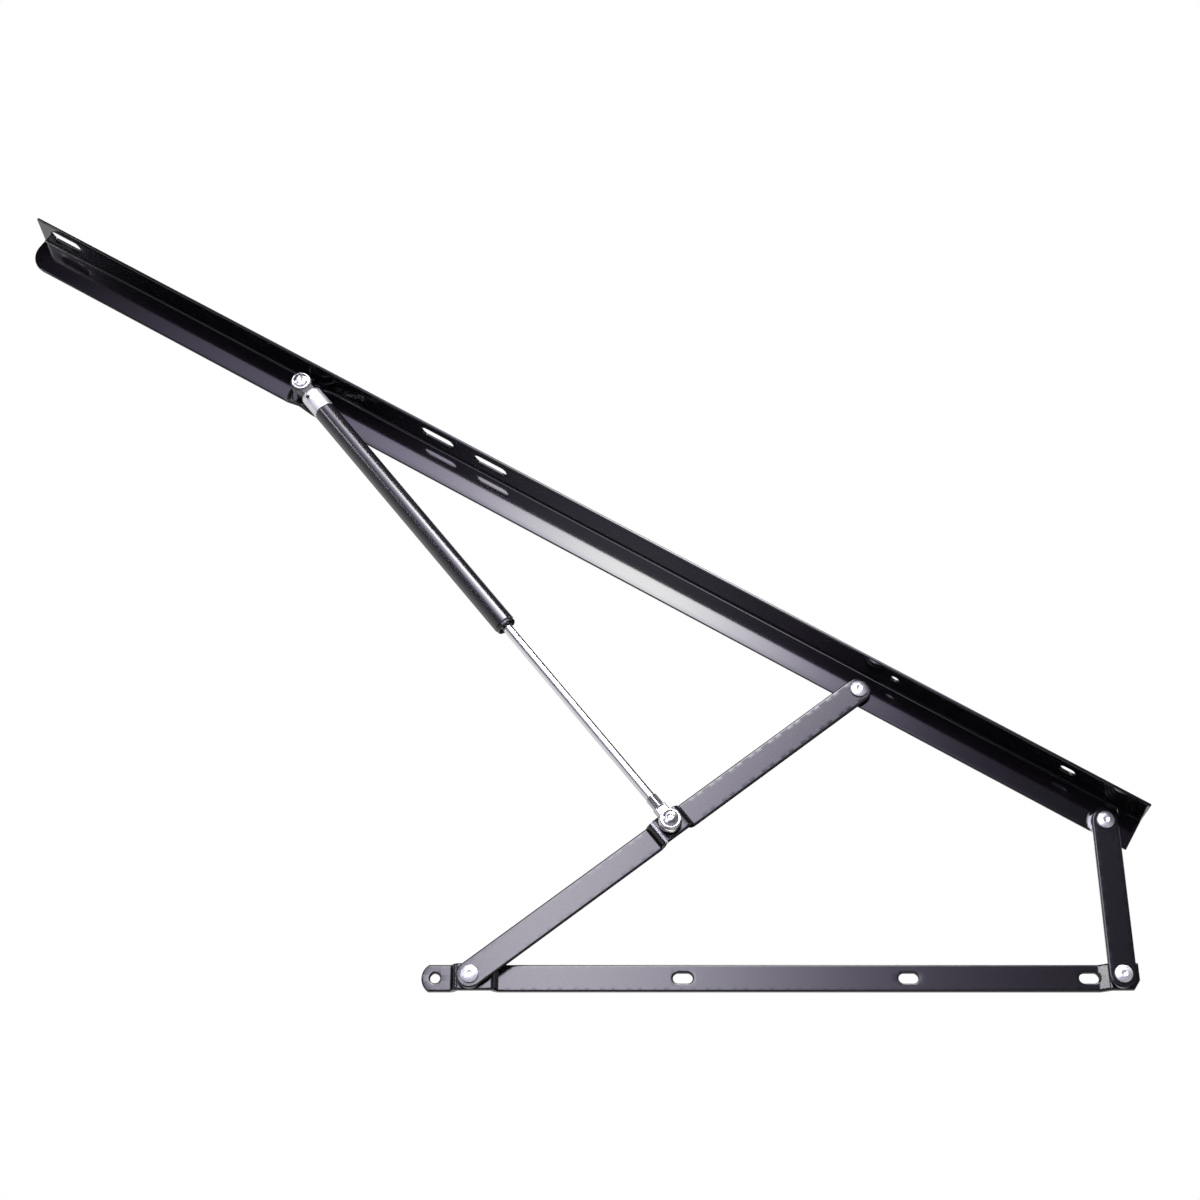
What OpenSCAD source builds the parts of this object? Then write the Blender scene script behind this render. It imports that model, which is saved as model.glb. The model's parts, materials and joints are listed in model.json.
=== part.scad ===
// Bed lift mechanism, one side: a lower bar, two arms and a top rail form a four-bar
// linkage, and a gas spring between the top rail and the long arm pushes it open.
// The model stands open. X runs along the bed, Z is up, and Y = 0 is the face of the
// lower bar that lies on the bed's side board. The origin is the hole in the lower
// bar's tab, on that face.

/* [Linkage] */
// Distance between the two pivots on the lower bar
base_span = 590; // [570:1:610]
// Distance between the pivots of the long arm
long_arm_length = 463; // [450:1:475]
// Distance between the pivots of the short arm
short_arm_length = 147; // [140:1:160]
// Distance between the two arm pivots on the top rail
rail_span = 260; // [250:1:270]
// Angle of the long arm above the lower bar when the mechanism is open
open_angle = 37.4; // [35:0.1:39]
// Distance from the long arm's pivot on the top rail to the gas spring's pivot
spring_pivot_on_rail = 652; // [640:1:665]
// Distance from the long arm's pivot on the lower bar to the gas spring's pivot
spring_pivot_on_arm = 230; // [224:1:238]

/* [Flat bars] */
// Width of the lower bar and of both arms
bar_width = 25; // [23:0.5:30]
// Thickness of the lower bar and of both arms
bar_thickness = 5; // [4:0.5:6]
// Inner radius of the bends in the flat bars
bar_bend_radius = 1; // [1:0.5:2]
// Height by which the middle of the long arm is pressed forward
arm_press_height = 9; // [8:0.5:11]
// Length of each sloped step of the long arm
arm_press_run = 3; // [2.5:0.5:5]
// Length of the pressed middle below the gas spring's pivot
arm_press_below = 14; // [13:0.5:17]
// Length of the pressed middle above the gas spring's pivot
arm_press_above = 15.5; // [13:0.5:18]

/* [Lower bar] */
// Distance from the tab's hole to the long arm's pivot
tab_to_pivot = 32; // [30:1:40]
// Diameter of the hole in the tab
tab_hole_diameter = 9; // [6:0.5:11]
// Radius of the tab's curved end
tab_end_radius = 15; // [13:0.5:20]
// Height by which the lower bar steps forward at its pivots
bar_step_height = 6; // [5.5:0.5:8]
// Length of the sloped steps beside the long arm's pivot
left_step_run = 4; // [3:0.5:8]
// Length of the sloped step beside the short arm's pivot
right_step_run = 9; // [6:0.5:12]
// Level length between the long arm's pivot and the step towards the tab
pivot_land_before = 12.5; // [11:0.5:13]
// Level length between the long arm's pivot and the step towards the slots
pivot_land_after = 20; // [15:1:40]
// Level length between the short arm's pivot and the step towards the slots
end_land_before = 9.5; // [9.5:0.5:14]
// Length of the lower bar past the short arm's pivot
end_length = 16.5; // [14:0.5:25]
// Length and height of the sloped corner at the lower bar's end
end_corner = [6, 9]; // [4:0.5:10]
// Distances of the three screw slots from the tab's hole
base_slot_places = [225, 430, 594]; // [100:1:600]
// Length of a screw slot in the lower bar
base_slot_length = 18; // [12:0.5:24]
// Width of a screw slot in the lower bar
base_slot_width = 9.5; // [6:0.5:12]

/* [Top rail] */
// Length of the top rail to the left of the long arm's pivot
rail_left_length = 1011; // [1000:1:1100]
// Length of the top rail to the right of the long arm's pivot
rail_right_length = 289; // [285:1:330]
// Thickness of the top rail's sheet
rail_thickness = 3; // [2.5:0.5:4]
// Outer width of the upper flange, which carries the mattress frame
upper_flange_width = 40; // [38:1:50]
// Outer height of the side flange, which carries the pivots
side_flange_height = 36.5; // [35:0.5:45]
// Distance of the pivots below the underside of the upper flange
pivot_drop = 20; // [18:0.5:21]
// Inner radius of the bend between the flanges
rail_bend_radius = 2; // [1:0.5:4]
// Radius of the side flange's lower corner at the left end
rail_corner_radius = 24; // [8:1:28]
// Radius of the small corners of the top rail
rail_small_radius = 1; // [0.5:0.5:4]
// Distance of the slots' line in front of the rail's back
rail_slot_line = 24; // [18:0.5:27]
// Places of the long slots along the rail, from the long arm's pivot
long_slot_places = [-976, -498, -434]; // [-990:1:0]
// Length of a long slot in the upper flange
long_slot_length = 38; // [20:1:45]
// Width of a long slot in the upper flange
long_slot_width = 12; // [8:0.5:14]
// Place of the round hole in the upper flange
rail_hole_place = 26; // [0:1:60]
// Diameter of the round hole in the upper flange
rail_hole_diameter = 8; // [6:0.5:12]
// Place of the short slot in the upper flange
short_slot_place = 208; // [150:1:250]
// Length of the short slot in the upper flange
short_slot_length = 15; // [12:1:30]
// Width of the short slot in the upper flange
short_slot_width = 9.5; // [6:0.5:11]
// Height of the boss pressed into the side flange for the gas spring
boss_height = 6; // [4:0.5:8]
// Radius of the boss's level top
boss_top_radius = 12.5; // [11.5:0.5:13]
// Radius of the boss where it leaves the side flange
boss_foot_radius = 17.5; // [16:0.5:19]
// Radius of the level land pressed forward under the short arm
land_top_radius = 13; // [12:0.5:14]
// Radius of that land where it leaves the side flange
land_foot_radius = 15.5; // [15:0.5:17.5]

/* [Rivets] */
// Diameter of a rivet's shank
rivet_diameter = 8; // [6:0.5:10]
// Diameter of a rivet's front head
rivet_head_diameter = 16.5; // [14:0.5:18]
// Height of a rivet's front head
rivet_head_height = 4; // [3:0.5:5]
// Diameter of a rivet's rear head
rivet_tail_diameter = 14; // [12:0.5:16]
// Height of a rivet's rear head
rivet_tail_height = 3.5; // [2.5:0.5:4.5]
// Diameter of the dimple in a rivet's front head
rivet_dimple_diameter = 4; // [2:0.5:6]
// Depth of the dimple in a rivet's front head
rivet_dimple_depth = 0.8; // [0.4:0.1:1.5]
// Outer diameter of the washers under the arms
arm_washer_diameter = 19; // [16:0.5:22]
// Thickness of the washers under the arms
arm_washer_thickness = 2; // [1:0.5:3]

/* [Gas spring] */
// Outer diameter of the gas spring's tube
tube_diameter = 22; // [20:0.5:24]
// Wall of the gas spring's tube
tube_wall = 1.5; // [1:0.25:2]
// Length of the gas spring's tube
tube_length = 312.5; // [300:0.5:330]
// Length and thickness of the lip rolled in at the rod's end of the tube
tube_lip = 2; // [1.5:0.5:3]
// Diameter of the piston rod
rod_diameter = 10; // [8:0.5:11]
// Diameter of the rod's two threaded ends
rod_end_diameter = 6; // [5:0.5:7]
// Distance from the upper eye's centre to the end sleeve
eye_to_sleeve = 15.5; // [13:0.5:18]
// Length of the zinc-plated end sleeve
sleeve_length = 26.5; // [22:0.5:32]
// Outer diameter of the end sleeve
sleeve_diameter = 22; // [18:0.5:22]
// Rounding of the end sleeve's upper edge
sleeve_rounding = 4; // [1:0.5:5]
// Rounding of the end sleeve's lower edge
sleeve_foot_rounding = 1; // [0.5:0.5:3]
// Diameter of the vent hole through the end sleeve's wall
sleeve_vent_diameter = 4.5; // [2:0.5:5]
// Distance of the vent hole from the upper end of the end sleeve
sleeve_vent_place = 6.5; // [5:0.5:9]
// Angle by which the vent hole is turned from the front towards the lower left
sleeve_vent_angle = 37; // [0:1:60]
// Diameter of the studs that join the eye, the sleeve and the end plug
joining_stud_diameter = 8; // [6:0.5:10]
// Length of the plug in the upper end of the tube
plug_length = 10; // [6:1:15]
// Length of the rod guide
guide_length = 10; // [8:1:15]
// Length of the rod seal
seal_length = 6; // [4:0.5:8]
// Length of the piston
piston_length = 12; // [10:1:18]
// Width of the piston's ring groove
piston_groove_width = 4; // [2:0.5:6]
// Depth of the piston's ring groove
piston_groove_depth = 2; // [1:0.5:2.5]
// Width across the flats of the nut on the piston
piston_nut_width = 10; // [9:0.5:13]
// Length of the nut on the piston
piston_nut_length = 4; // [3:0.5:6]
// Outer diameter of the two eyes
eye_diameter = 22; // [20:0.5:24]
// Thickness of the two eyes
eye_thickness = 10; // [8:0.5:12]
// Outer diameter of the bush in each eye
bush_diameter = 12; // [11:0.5:14]
// Diameter of the neck beside each eye
eye_neck_diameter = 14; // [12:0.5:16]
// Distance from the lower eye's centre to its hexagonal neck
lower_neck_start = 16.5; // [14:0.5:20]
// Length of the lower eye's hexagonal neck
lower_neck_length = 12; // [9:0.5:16]
// Width across the flats of the lower eye's neck
lower_neck_width = 10.5; // [9:0.5:13]

/* [Spring bolts] */
// Diameter of the bolts through the eyes
bolt_diameter = 8; // [6:0.5:10]
// Diameter of the bolts' round heads
bolt_head_diameter = 15; // [13:0.5:17]
// Height of the bolts' round heads
bolt_head_height = 4.4; // [4:0.2:5.6]
// Width across the flats of the socket in a bolt's head
bolt_socket_width = 5; // [4:0.5:6]
// Depth of the socket in a bolt's head
bolt_socket_depth = 2.4; // [1.5:0.1:3]
// Outer diameter of the washers under the bolts' heads
bolt_washer_diameter = 18.5; // [16:0.5:22]
// Thickness of the washers under the bolts' heads
bolt_washer_thickness = 1.6; // [1:0.1:2.5]
// Width across the flats of the hexagonal collar on the long arm
collar_width = 17; // [15:0.5:20]
// Height of the hexagonal collar on the long arm
collar_height = 5; // [4:0.5:7]
// Diameter of the spacer between the boss and the upper eye
spacer_diameter = 15; // [13:0.5:18]
// Width across the flats of the nut behind the boss
nut_width = 13; // [12:0.5:15]
// Height of the nut behind the boss
nut_height = 6; // [4:0.5:6.5]

/* [Clearances] */
// Clearance around a shank or a rod that turns or slides in its hole, per side
running_clearance = 0.05; // [0.02:0.01:0.1]
// Clearance around a shank in a washer or a spacer, per side
loose_clearance = 0.2; // [0.1:0.05:0.4]
// Gap between the two halves of each pivot that the lever chain leaves open
open_pivot_gap = 0.3; // [0.3:0.05:0.6]
// Gap between the piston and the seal when the spring is fully out
piston_gap = 0.5; // [0.3:0.1:2]
// Clearance of the rod in the tube's rolled lip, per side
lip_clearance = 0.6; // [0.4:0.1:1]

/* [Hidden] */
$fn = 64;
bend_steps = 6;
// Length by which a cut runs past the surface that it opens
cut_past = 1;
black = "#1c1c1f";
black_plastic = "#141416";
plated = "#c9ccd0";
bright_steel = "#dcdde0";

// Distances in front of the mounting face, from back to front
land_back = bar_step_height;
land_front = land_back + bar_thickness;
rail_back = land_front - rail_thickness;
arm_back = land_front + arm_washer_thickness;
arm_front = arm_back + bar_thickness;
arm_middle_back = arm_back + arm_press_height;
arm_middle_front = arm_front + arm_press_height;
eye_back = arm_middle_front + collar_height;
spring_axis = eye_back + eye_thickness / 2;
eye_front = eye_back + eye_thickness;
bolt_head_back = eye_front + bolt_washer_thickness;
boss_front = land_front + boss_height;
boss_back = rail_back + boss_height;
land_height = arm_back - land_front;

// Places in the plane of the linkage, as [X, Z]
function along(angle) = [cos(angle), sin(angle)];
function direction(from, to) = atan2(to.y - from.y, to.x - from.x);
long_base_pivot = [tab_to_pivot, 0];
short_base_pivot = long_base_pivot + [base_span, 0];
long_rail_pivot = long_base_pivot + long_arm_length * along(open_angle);
diagonal = norm(short_base_pivot - long_rail_pivot);
rail_to_diagonal = acos((rail_span ^ 2 + diagonal ^ 2 - short_arm_length ^ 2) / (2 * rail_span * diagonal));
rail_angle = direction(long_rail_pivot, short_base_pivot) + rail_to_diagonal;
short_rail_pivot = long_rail_pivot + rail_span * along(rail_angle);
short_angle = direction(short_base_pivot, short_rail_pivot);
upper_spring_pivot = long_rail_pivot - spring_pivot_on_rail * along(rail_angle);
lower_spring_pivot = long_base_pivot + spring_pivot_on_arm * along(open_angle);
spring_angle = direction(upper_spring_pivot, lower_spring_pivot);
spring_length = norm(lower_spring_pivot - upper_spring_pivot);

// Places along the gas spring, from the upper eye's centre
tube_start = eye_to_sleeve + sleeve_length;
tube_end = tube_start + tube_length;
tube_bore = tube_diameter - 2 * tube_wall;
guide_start = tube_end - tube_lip - guide_length;
seal_start = guide_start - seal_length;
piston_start = seal_start - piston_gap - piston_length;
nut_start = piston_start - piston_nut_length;
rod_end = spring_length - lower_neck_start - lower_neck_length;
stud_gap = 1;
stud_middle = eye_to_sleeve + sleeve_length / 2;

// Places on the top rail, in the rail's own lengths from the pivots' line
rail_top = pivot_drop + rail_thickness;
rail_bottom = rail_top - side_flange_height;

// Drawing plane of the linkage: x right, y up, and z forward from the mounting face
module place(point, angle = 0) {
    rotate([90, 0, 0])
        translate([point.x, point.y, 0])
            rotate([0, 0, angle])
                children();
}

// Gas spring's own lengths: x from the upper eye to the lower eye, z forward
module place_on_spring(distance = 0) {
    place(upper_spring_pivot, spring_angle)
        translate([distance, 0, spring_axis])
            children();
}

// Turns a shape that was drawn along z so that it runs along the gas spring
module along_spring() {
    rotate([0, 90, 0])
        children();
}

// Centre line of a strip, turned and shifted at its bends
function unit(v) = v / norm(v);
function left_of(v) = [-v.y, v.x];
function turned(v, angle) = [v.x * cos(angle) - v.y * sin(angle), v.x * sin(angle) + v.y * cos(angle)];
function turn_between(u, v) = atan2(u.x * v.y - u.y * v.x, u * v);
function before_point(path, i) = unit(path[max(i, 1)] - path[max(i, 1) - 1]);
function after_point(path, i) = unit(path[min(i, len(path) - 2) + 1] - path[min(i, len(path) - 2)]);

// One side of a strip along a bent centre line, where each bend is an arc
function strip_side(path, side, radius) = [
    for (i = [0 : len(path) - 1])
        let (
            before = before_point(path, i),
            turn = turn_between(before, after_point(path, i)),
            way = turn < 0 ? -1 : 1,
            start = path[i] - before * radius * tan(abs(turn) / 2),
            centre = start + left_of(before) * radius * way
        )
        each turn == 0
            ? [path[i] + left_of(before) * side]
            : [for (k = [0 : bend_steps])
                centre + turned(left_of(before), turn * k / bend_steps) * (side - way * radius)]
];
function reversed(points) = [for (i = [len(points) - 1 : -1 : 0]) points[i]];

// Strip of the bars' thickness whose middle follows the path, as wide as asked
module bent_strip(path, width) {
    radius = bar_bend_radius + bar_thickness / 2;
    front = strip_side(path, bar_thickness / 2, radius);
    back = strip_side(path, -bar_thickness / 2, radius);
    rotate([90, 0, 0])
        linear_extrude(width, center = true)
            polygon(concat(front, reversed(back)));
}

// Outline of a bar with two round ends, centred on its pivots
module arm_outline(length) {
    translate([0, -bar_width / 2])
        square([length, bar_width]);
    for (x = [0, length])
        translate([x, 0])
            circle(d = bar_width);
}

module slot_outline(length, width) {
    straight = length - width;
    square([straight, width], center = true);
    for (x = [-straight / 2, straight / 2])
        translate([x, 0])
            circle(d = width);
}

// Hole for a shank that turns in it, through everything at its place
module running_hole(diameter, from, to) {
    translate([0, 0, from - cut_past])
        cylinder(h = to - from + 2 * cut_past, d = diameter + 2 * running_clearance);
}

// Hole that a shank fills
module tight_hole(diameter, from, to) {
    translate([0, 0, from - cut_past])
        cylinder(h = to - from + 2 * cut_past, d = diameter);
}

// Ball cap of the given foot diameter and height, standing on z = 0
module cap(diameter, height) {
    ball = (diameter ^ 2 / 4 + height ^ 2) / (2 * height);
    intersection() {
        translate([0, 0, height - ball])
            sphere(r = ball);
        cylinder(h = height, d = diameter + cut_past);
    }
}

// Round head with a rim and a domed top, standing on z = 0
module domed_head(diameter, height) {
    rim = height / 2;
    cylinder(h = rim, d = diameter);
    translate([0, 0, rim])
        cap(diameter, height - rim);
}

module rivet_front(from) {
    translate([0, 0, from])
        difference() {
            domed_head(rivet_head_diameter, rivet_head_height);
            translate([0, 0, rivet_head_height])
                mirror([0, 0, 1])
                    cap(rivet_dimple_diameter, rivet_dimple_depth);
        }
}

module rivet_rear(at) {
    translate([0, 0, at])
        mirror([0, 0, 1])
            domed_head(rivet_tail_diameter, rivet_tail_height);
}

module rivet_shank(from, to) {
    translate([0, 0, from])
        cylinder(h = to - from, d = rivet_diameter);
}

module washer(outer, inner, from, to) {
    translate([0, 0, from])
        difference() {
            cylinder(h = to - from, d = outer);
            translate([0, 0, -cut_past])
                cylinder(h = to - from + 2 * cut_past, d = inner);
        }
}

module arm_washer(back = land_front) {
    color(plated)
        washer(arm_washer_diameter, rivet_diameter + 2 * loose_clearance, back, arm_back);
}

// Hexagon with the given width across its flats
module hexagon(width) {
    circle(d = width / cos(30), $fn = 6);
}

// Round head of a bolt with a six-sided socket, standing on its washer
module bolt_head() {
    translate([0, 0, bolt_head_back])
        difference() {
            domed_head(bolt_head_diameter, bolt_head_height);
            translate([0, 0, bolt_head_height - bolt_socket_depth])
                linear_extrude(bolt_socket_depth + cut_past)
                    hexagon(bolt_socket_width);
        }
}

module bolt_washer() {
    washer(bolt_washer_diameter, bolt_diameter + 2 * loose_clearance, eye_front, bolt_head_back);
}

// Tube from z = 0 with the given diameters
module ring(outer, inner, length) {
    difference() {
        cylinder(h = length, d = outer);
        translate([0, 0, -cut_past])
            cylinder(h = length + 2 * cut_past, d = inner);
    }
}

// Eye with a round neck that reaches the given distance along x
module eye_body(reach) {
    translate([0, 0, -eye_thickness / 2])
        cylinder(h = eye_thickness, d = eye_diameter);
    intersection() {
        along_spring()
            cylinder(h = reach, d = eye_neck_diameter);
        translate([0, 0, -eye_thickness / 2])
            linear_extrude(eye_thickness)
                translate([0, -eye_neck_diameter])
                    square([reach, 2 * eye_neck_diameter]);
    }
}

module eye_bush() {
    translate([0, 0, -eye_thickness / 2])
        ring(bush_diameter, bolt_diameter + 2 * running_clearance, eye_thickness);
}

// Lower bar and its two fixed pivots
module base_outline() {
    end = short_base_pivot.x + end_length;
    half = bar_width / 2;
    difference() {
        union() {
            intersection() {
                translate([tab_end_radius - half, 0])
                    circle(r = tab_end_radius);
                translate([-half, -half])
                    square(bar_width);
            }
            polygon([
                [0, -half],
                [end - end_corner.x, -half],
                [end, -half + end_corner.y],
                [end, half],
                [0, half],
            ]);
        }
        for (x = base_slot_places)
            translate([x, 0])
                slot_outline(base_slot_length, base_slot_width);
        circle(d = tab_hole_diameter);
    }
}

module base_rail() {
    low = bar_thickness / 2;
    high = low + bar_step_height;
    left_land_start = long_base_pivot.x - pivot_land_before;
    left_land_end = long_base_pivot.x + pivot_land_after;
    right_land_start = short_base_pivot.x - end_land_before;
    past_end = short_base_pivot.x + end_length + cut_past;
    path = [
        [-bar_width, low],
        [left_land_start - left_step_run, low],
        [left_land_start, high],
        [left_land_end, high],
        [left_land_end + left_step_run, low],
        [right_land_start - right_step_run, low],
        [right_land_start, high],
        [past_end, high],
    ];
    color(black)
        place([0, 0])
            difference() {
                intersection() {
                    bent_strip(path, bar_width + 2 * cut_past);
                    translate([0, 0, -cut_past])
                        linear_extrude(land_front + 2 * cut_past)
                            base_outline();
                }
                for (pivot = [long_base_pivot, short_base_pivot])
                    translate(pivot)
                        tight_hole(rivet_diameter, land_back, land_front);
            }
}

// Rivet that is fixed in the piece behind and carries an arm
module arm_rivet(rear) {
    color(plated) {
        rivet_front(arm_front);
        rivet_shank(rear, arm_front);
        rivet_rear(rear);
    }
}

module base_long_rivet() {
    place(long_base_pivot)
        arm_rivet(land_back);
}

module base_long_washer() {
    place(long_base_pivot)
        arm_washer();
}

// Rear half of the short arm's pivot on the lower bar
module base_short_rivet_tail() {
    color(plated)
        place(short_base_pivot) {
            rivet_shank(land_back, land_front);
            rivet_rear(land_back);
        }
}

// Long arm with its middle pressed forward for the gas spring
module long_arm() {
    low = arm_back + bar_thickness / 2;
    high = low + arm_press_height;
    middle_start = spring_pivot_on_arm - arm_press_below;
    middle_end = spring_pivot_on_arm + arm_press_above;
    path = [
        [-bar_width, low],
        [middle_start - arm_press_run, low],
        [middle_start, high],
        [middle_end, high],
        [middle_end + arm_press_run, low],
        [long_arm_length + bar_width, low],
    ];
    color(black)
        place(long_base_pivot, open_angle)
            difference() {
                intersection() {
                    bent_strip(path, bar_width + 2 * cut_past);
                    translate([0, 0, arm_back - cut_past])
                        linear_extrude(bar_thickness + arm_press_height + 2 * cut_past)
                            arm_outline(long_arm_length);
                }
                for (x = [0, long_arm_length])
                    translate([x, 0, 0])
                        running_hole(rivet_diameter, arm_back, arm_front);
                translate([spring_pivot_on_arm, 0, 0])
                    tight_hole(bolt_diameter, arm_middle_back, arm_middle_front);
            }
}

// Hexagonal collar riveted into the long arm, which the lower eye turns against
module lower_collar() {
    color(black)
        place(lower_spring_pivot, open_angle) {
            translate([0, 0, arm_middle_front])
                linear_extrude(collar_height - open_pivot_gap)
                    hexagon(collar_width);
            translate([0, 0, arm_middle_back])
                cylinder(h = bar_thickness, d = bolt_diameter);
            translate([0, 0, arm_middle_back])
                mirror([0, 0, 1])
                    domed_head(rivet_tail_diameter, rivet_tail_height);
        }
}

// Top rail: a pressed angle with a boss for the gas spring and a land for the short arm
module corner_block(back, top, depth, height, radius) {
    translate([back + radius, top - height])
        square([depth - radius, height]);
    translate([back, top - height])
        square([depth, height - radius]);
    translate([back + radius, top - radius])
        circle(r = radius);
}

module angle_section() {
    difference() {
        corner_block(
            rail_back, rail_top, upper_flange_width, side_flange_height, rail_bend_radius + rail_thickness
        );
        corner_block(
            land_front, pivot_drop, upper_flange_width, side_flange_height, rail_bend_radius
        );
    }
}

// What is cut off a corner that is rounded: the corner lies at the origin, the bar at +x and +y
module corner_waste(radius) {
    difference() {
        translate([-cut_past, -cut_past])
            square(radius + cut_past);
        translate([radius, radius])
            circle(r = radius);
    }
}

module rail_side_corners() {
    translate([-rail_left_length, rail_bottom])
        corner_waste(rail_corner_radius);
    translate([rail_right_length, rail_bottom])
        mirror([1, 0])
            corner_waste(rail_small_radius);
}

module rail_upper_corners() {
    front = -rail_back - upper_flange_width;
    translate([-rail_left_length, front])
        corner_waste(rail_small_radius);
    translate([rail_right_length, front])
        mirror([1, 0])
            corner_waste(rail_small_radius);
}

module rail_upper_openings() {
    translate([0, -rail_back - rail_slot_line]) {
        for (x = long_slot_places)
            translate([x, 0])
                slot_outline(long_slot_length, long_slot_width);
        translate([rail_hole_place, 0])
            circle(d = rail_hole_diameter);
        translate([short_slot_place, 0])
            slot_outline(short_slot_length, short_slot_width);
    }
}

// Cuts downwards through the upper flange, drawn with x along the rail and y backwards
module through_upper_flange() {
    translate([0, rail_top + cut_past, 0])
        rotate([90, 0, 0])
            linear_extrude(rail_thickness + 2 * cut_past)
                mirror([0, 1])
                    children();
}

// What a round part of the side flange that is pressed forward adds in front
module pressed_front(place, height, top, foot) {
    intersection() {
        translate([place, 0, land_front])
            cylinder(h = height, r1 = foot, r2 = top);
        translate([place - 2 * foot, rail_bottom, 0])
            cube([4 * foot, pivot_drop - rail_bottom, land_front + height + cut_past]);
    }
}

// What the same part leaves hollow behind
module pressed_hollow(place, height, top, foot) {
    wall = rail_thickness / 2;
    translate([place, 0, rail_back])
        cylinder(h = height, r1 = foot - wall, r2 = top - wall);
}

module top_rail() {
    color(black)
        place(long_rail_pivot, rail_angle)
            difference() {
                union() {
                    translate([rail_right_length, 0, 0])
                        rotate([0, -90, 0])
                            linear_extrude(rail_left_length + rail_right_length)
                                angle_section();
                    pressed_front(-spring_pivot_on_rail, boss_height, boss_top_radius, boss_foot_radius);
                    pressed_front(rail_span, land_height, land_top_radius, land_foot_radius);
                }
                pressed_hollow(-spring_pivot_on_rail, boss_height, boss_top_radius, boss_foot_radius);
                pressed_hollow(rail_span, land_height, land_top_radius, land_foot_radius);
                translate([0, 0, rail_back - cut_past])
                    linear_extrude(rail_thickness + 2 * cut_past)
                        rail_side_corners();
                through_upper_flange()
                    rail_upper_corners();
                through_upper_flange()
                    rail_upper_openings();
                for (x = [0, rail_span])
                    translate([x, 0, 0])
                        tight_hole(rivet_diameter, rail_back, arm_back);
                translate([-spring_pivot_on_rail, 0, 0])
                    tight_hole(bolt_diameter, boss_back, boss_front);
            }
}

module rail_long_rivet() {
    place(long_rail_pivot)
        arm_rivet(rail_back);
}

module rail_long_washer() {
    place(long_rail_pivot)
        arm_washer();
}

module rail_short_rivet() {
    place(short_rail_pivot)
        arm_rivet(rail_back + land_height);
}

// Bolt through the upper eye, its washer, spacer and nut
module upper_bolt() {
    color(bright_steel)
        place(upper_spring_pivot, rail_angle) {
            bolt_head();
            translate([0, 0, rail_back])
                cylinder(h = bolt_head_back - rail_back, d = bolt_diameter);
        }
}

module upper_bolt_washer() {
    color(plated)
        place(upper_spring_pivot)
            bolt_washer();
}

module upper_spacer() {
    color(black)
        place(upper_spring_pivot)
            washer(spacer_diameter, bolt_diameter + 2 * loose_clearance, boss_front, eye_back);
}

module upper_nut() {
    color(plated)
        place(upper_spring_pivot, rail_angle)
            translate([0, 0, boss_back - nut_height])
                difference() {
                    linear_extrude(nut_height)
                        hexagon(nut_width);
                    translate([0, 0, -cut_past])
                        cylinder(h = nut_height + 2 * cut_past, d = bolt_diameter);
                }
}

// Short arm and the front half of its pivot on the lower bar
module short_arm() {
    color(black)
        place(short_base_pivot, short_angle)
            difference() {
                translate([0, 0, arm_back])
                    linear_extrude(bar_thickness)
                        arm_outline(short_arm_length);
                tight_hole(rivet_diameter, arm_back, arm_front);
                translate([short_arm_length, 0, 0])
                    running_hole(rivet_diameter, arm_back, arm_front);
            }
}

module base_short_rivet() {
    color(plated)
        place(short_base_pivot) {
            rivet_front(arm_front);
            rivet_shank(land_front + open_pivot_gap, arm_front);
        }
}

module base_short_washer() {
    place(short_base_pivot)
        arm_washer(land_front + open_pivot_gap);
}

// Gas spring: tube and what is fixed to it
module gas_tube() {
    color(black)
        place_on_spring(tube_start)
            along_spring()
                difference() {
                    cylinder(h = tube_length, d = tube_diameter);
                    translate([0, 0, -cut_past])
                        cylinder(h = tube_length - tube_lip + cut_past, d = tube_bore);
                    cylinder(h = tube_length + cut_past, d = rod_diameter + 2 * lip_clearance);
                }
}

module tube_end_plug() {
    stud = tube_start - stud_middle - stud_gap / 2;
    color(plated)
        place_on_spring(tube_start)
            along_spring() {
                cylinder(h = plug_length, d = tube_bore);
                translate([0, 0, -stud])
                    cylinder(h = stud, d = joining_stud_diameter);
            }
}

module end_sleeve() {
    color(plated)
        place_on_spring(eye_to_sleeve)
            difference() {
                along_spring()
                    rotate_extrude()
                        sleeve_section();
                translate([sleeve_vent_place, 0, 0])
                    rotate([sleeve_vent_angle, 0, 0])
                        translate([0, 0, joining_stud_diameter / 4])
                            cylinder(h = sleeve_diameter, d = sleeve_vent_diameter);
            }
}

// Half section of the end sleeve, x from its axis and y along it
module sleeve_section() {
    inner = joining_stud_diameter / 2;
    outer = sleeve_diameter / 2;
    foot = sleeve_length - sleeve_foot_rounding;
    translate([inner, 0])
        square([outer - inner - sleeve_rounding, sleeve_length]);
    translate([inner, sleeve_rounding])
        square([outer - inner - sleeve_foot_rounding, sleeve_length - sleeve_rounding]);
    translate([inner, sleeve_rounding])
        square([outer - inner, foot - sleeve_rounding]);
    translate([outer - sleeve_rounding, sleeve_rounding])
        intersection() {
            circle(r = sleeve_rounding);
            translate([0, -sleeve_rounding])
                square(sleeve_rounding);
        }
    translate([outer - sleeve_foot_rounding, foot])
        circle(r = sleeve_foot_rounding);
}

module upper_eye() {
    stud = stud_middle - stud_gap / 2;
    color(black_plastic)
        place_on_spring()
            difference() {
                union() {
                    eye_body(eye_to_sleeve);
                    along_spring()
                        cylinder(h = stud, d = joining_stud_diameter);
                }
                tight_hole(bush_diameter, -eye_thickness / 2, eye_thickness / 2);
            }
}

module upper_eye_bush() {
    color(bright_steel)
        place_on_spring()
            eye_bush();
}

module rod_guide() {
    color(plated)
        place_on_spring(guide_start)
            along_spring()
                ring(tube_bore, rod_diameter + 2 * running_clearance, guide_length);
}

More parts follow.
